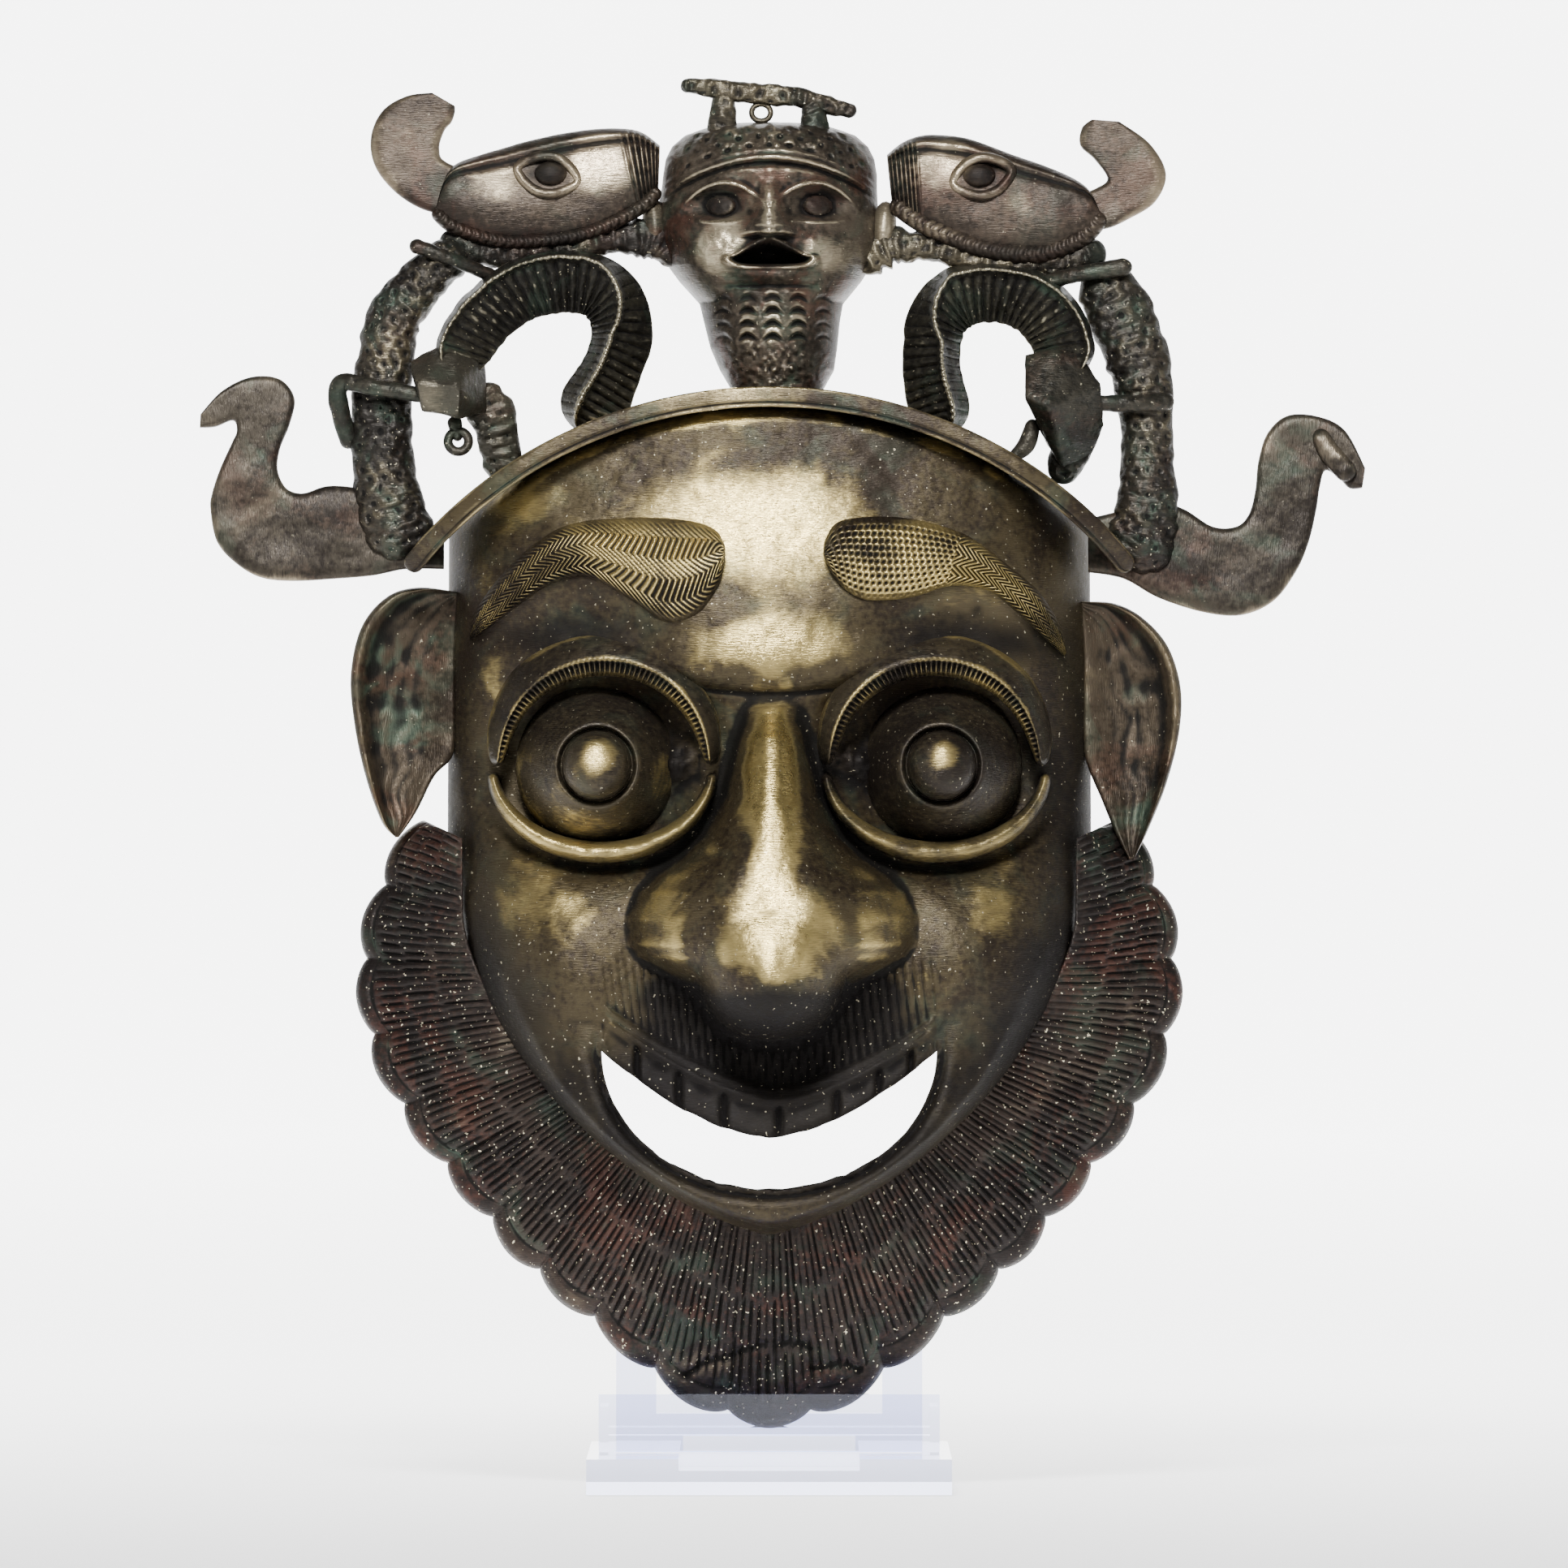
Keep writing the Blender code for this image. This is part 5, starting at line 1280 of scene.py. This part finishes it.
SMALL_EARS = [(-36, CREST, 396), (36, CREST, 395)]
head_bodies = [small_head(), egg_row(SMALL_EARS, [(4.0, 6.0, 8.5)] * 2, [0.1, -0.1], 20, 12)]
HEAD_RUBBED = ((-16, 388, 14, 12, 1.0), (18, 386, 13, 11, 0.8), (0, 404, 34, 16, 0.4), (0, 362, 22, 14, 0.35))
# Painted shade in the small head's eye sockets and its open mouth.
HEAD_PAINTED_SHADE = ((-15.5, 401.5, 11, 6, 0.8), (15.5, 401.5, 11, 6, 0.8), (0, 386, 15, 6, 1.0))
head_bronze = bronze("small_head_bronze", (0.026, 0.021, 0.016), (0.075, 0.060, 0.044), (0.46, 0.39, 0.27),
                     HEAD_RUBBED, HEAD_PAINTED_SHADE, green=0.55, red=0.45, pale=0.35, pits=0.4, polish=0.75)
cast("small_head", head_bodies, head_bronze)


# The side horns: two flat hooked plates cast with the uprights, smooth in
# front and turned down at the tips.
HORN_LEFT = [[(-102, 287), (-114, 287), (-124.4, 285), (-136, 284), (-150, 283.3), (-160, 284.6),
              (-168, 289.5), (-173.4, 296), (-175.4, 306), (-174.9, 311), (-172.5, 318.5), (-169, 326.4),
              (-167.3, 330.5), (-168.5, 333.8), (-174, 331.8), (-178.8, 331.5)],
             [(-102, 300), (-110, 303), (-118, 307), (-127, 312), (-138, 313.3), (-146, 311),
              (-150.5, 311.8), (-153, 314.5), (-154.4, 319), (-153.6, 325), (-150.5, 333), (-149.2, 341),
              (-154, 347), (-163, 347.6), (-172, 343.2), (-178.6, 336)]]
HORN_RIGHT = [[(100, 286), (111, 284), (122, 278), (136, 273.5), (148, 272.6), (158, 277), (165, 286),
               (169, 295), (171.5, 305), (172.8, 313), (174.5, 318), (178.5, 316), (182, 312.5),
               (186, 312.5)],
              [(100, 303), (110, 305.5), (120, 309), (130, 306), (139, 300.5), (146.5, 300.5),
               (150.5, 304.5), (152.5, 312), (153.5, 321), (156.5, 330), (163, 335.5), (173, 335),
               (181, 330.5), (187, 319)]]
HORN_TIP = [(172, CREST + 5, 331, 2.5), (176, CREST + 6, 323.5, 3.4), (183, CREST + 6, 315.5, 3.4)]
HORN_BACK = CREST + 0.4


def horn_front(across, run, x, z):
    """A flat plate, slightly uneven."""
    return CREST + 5.4 + 0.45 * rough(x, 3, z, 9.0) + 0.12 * rough(x, 8, z, 3.0)


horn_bodies = [leaf(banks, horn_front, HORN_BACK, 200, 40, 10.0) for banks in (HORN_LEFT, HORN_RIGHT)]
horn_bodies.append(bar(HORN_TIP, oval(20, 2.6, 4.0, 0.7), 80, uneven))
horn_bronze = bronze("horn_bronze", (0.020, 0.016, 0.013), (0.048, 0.040, 0.030), (0.28, 0.23, 0.16),
                     ((-158, 300, 18, 30, 0.4), (160, 296, 16, 30, 0.35)), green=0.40, red=0.16, pale=0.12,
                     pits=0.2, polish=0.5, scratch=(7, 1, 1))
cast("side_horns", horn_bodies, horn_bronze)


# The hanging loop on the crown: a rough bar on two posts over the cap, with a
# small ring in it, cast with the crest and made of the same pelleted wax rods.
LOOP = CREST + 7
LOOP_BAR = [(-28, LOOP, 439.4, 2.0), (-23, LOOP, 439.6, 2.6), (-12, LOOP, 438.0, 3.3),
            (0, LOOP, 436.8, 3.4), (10, LOOP, 435.8, 3.1), (20, LOOP, 433.2, 2.8), (27.5, LOOP, 431.4, 2.1)]
LOOP_POSTS = [[(-13.5, LOOP, 438, 3.4), (-14.6, LOOP, 432, 4.0), (-15.2, LOOP, 422, 5.6)],
              [(12, LOOP, 435.5, 3.4), (14, LOOP, 430.5, 4.0), (14.5, LOOP, 421, 5.6)]]
loop_bodies = [bar(LOOP_BAR, oval(20, 3.2, 3.2, 0.8), 120, pellets, sway=0.12)]
loop_bodies += [bar(post, oval(20, 4, 4, 0.8), 60, pellets, sway=0.1) for post in LOOP_POSTS]
link = round_path(-2.6, LOOP, 431.2, (3.0, 2.7), 0.9, 12)
loop_bodies.append(bar(link, oval(12, 1.2, 1.2), 60, closed=True))
cast("hanging_loop", loop_bodies, rough_bronze)


# The easel: two pieces of clear moulded plastic, a base with a lip and tray
# and a back rest that stands in it. Both keep the shape of the model's solids.
clear = Finish("clear_plastic")
clear_plastic = clear.wear({"Base Color": (0.66, 0.69, 0.87), "Roughness": 0.02, "IOR": 1.49,
                            "Transmission Weight": 1.0})
for easel_part in ("stand_base", "stand_back"):
    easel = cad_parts[easel_part]
    easel.data.materials.clear()
    easel.data.materials.append(clear_plastic)


# The room: a plain pale floor that curves up behind the object, soft studio
# lights, and the camera level with the middle of the mask.
FLOOR_REACH = 4.4
FLOOR_BEND = 1.2
WALL_HEIGHT = 3.5
FLOOR_GAP = 0.0004
DIM_GLOW = 0.06
WALL_GLOW = 4.2


def backdrop():
    """A round studio turned about z: a flat floor, a quarter turn up and a wall on every side.

    The wall glows where y is past 1 m and x within 0.6 m, fading out to y of -1 m and x of 1.2 m.
    """
    bend = np.linspace(0, math.pi / 2, 16)
    reach = FLOOR_REACH + FLOOR_BEND * np.sin(bend)
    reach = np.concatenate([[0.001, 1.0, 2.5], reach, [FLOOR_REACH + FLOOR_BEND]])[:, None]
    z = np.concatenate([[0.0, 0.0, 0.0], FLOOR_BEND - FLOOR_BEND * np.cos(bend), [WALL_HEIGHT]])
    z = z[:, None] - FLOOR_GAP
    turn = np.linspace(0, 2 * math.pi, 96, endpoint=False)[None, :]
    points = np.stack(np.broadcast_arrays(reach * np.cos(turn), reach * np.sin(turn), z), axis=-1)
    mesh = bpy.data.meshes.new("backdrop")
    faces = grid_quads(*points.shape[:2], wrap=True)
    mesh.from_pydata(points.reshape(-1, 3).tolist(), [], faces.tolist())
    mesh.polygons.foreach_set("use_smooth", np.ones(len(mesh.polygons), bool))
    made = bpy.data.objects.new("backdrop", mesh)
    bpy.context.scene.collection.objects.link(made)
    paper = Finish("backdrop_paper")
    behind = paper.node("ShaderNodeSeparateXYZ", {}, {"Vector": paper.spot}, "Y")
    aside = paper.node("ShaderNodeSeparateXYZ", {}, {"Vector": paper.spot}, "X")
    near_wall = paper.between(behind, -1.0, 1.0)
    near_middle = paper.between(aside * aside, 1.4, 0.36)
    glow = DIM_GLOW + WALL_GLOW * near_wall * near_middle
    paper.wear({"Base Color": (0.85, 0.85, 0.85), "Roughness": 0.9, "Emission Color": glow,
                "Emission Strength": 1.0})
    mesh.materials.append(paper.material)


def soft_light(name, spot, aim, size, watts):
    """A white rectangular lamp at the spot, turned to shine at the aim."""
    lamp = bpy.data.lights.new(name, "AREA")
    lamp.shape = "RECTANGLE"
    lamp.size, lamp.size_y = size
    lamp.energy = watts
    made = bpy.data.objects.new(name, lamp)
    made.location = spot
    made.rotation_euler = (Vector(aim) - Vector(spot)).to_track_quat("-Z", "Y").to_euler()
    bpy.context.scene.collection.objects.link(made)


backdrop()
soft_light("key_light", (-0.12, -1.6, 1.7), (0, 0, 0.25), (0.60, 0.45), 84)
soft_light("left_light", (-1.9, -0.7, 0.7), (0, 0, 0.22), (0.4, 1.2), 4)
soft_light("right_light", (1.9, -0.7, 0.8), (0, 0, 0.22), (0.4, 1.2), 3)
soft_light("wall_light", (0, 3.0, 3.0), (0, 5.6, 0.6), (3.0, 0.8), 150)
world = bpy.data.worlds.new("studio")
world.use_nodes = True
sky = world.node_tree.nodes["Background"]
sky.inputs["Color"].default_value = (1.0, 1.0, 1.0, 1.0)
sky.inputs["Strength"].default_value = 0.07
bpy.context.scene.world = world

PHOTO_WIDTH = 0.489
PHOTO_MIDDLE_X = 0.0046
PHOTO_MIDDLE_Z = 0.2196
CAMERA_FAR = 4.5
SENSOR = 36.0
view = bpy.data.cameras.new("photo_camera")
view.sensor_width = SENSOR
view.lens = SENSOR * CAMERA_FAR / PHOTO_WIDTH
camera = bpy.data.objects.new("photo_camera", view)
camera.location = (PHOTO_MIDDLE_X, -CAMERA_FAR, PHOTO_MIDDLE_Z)
camera.rotation_euler = (math.pi / 2, 0, 0)
bpy.context.scene.collection.objects.link(camera)
bpy.context.scene.camera = camera
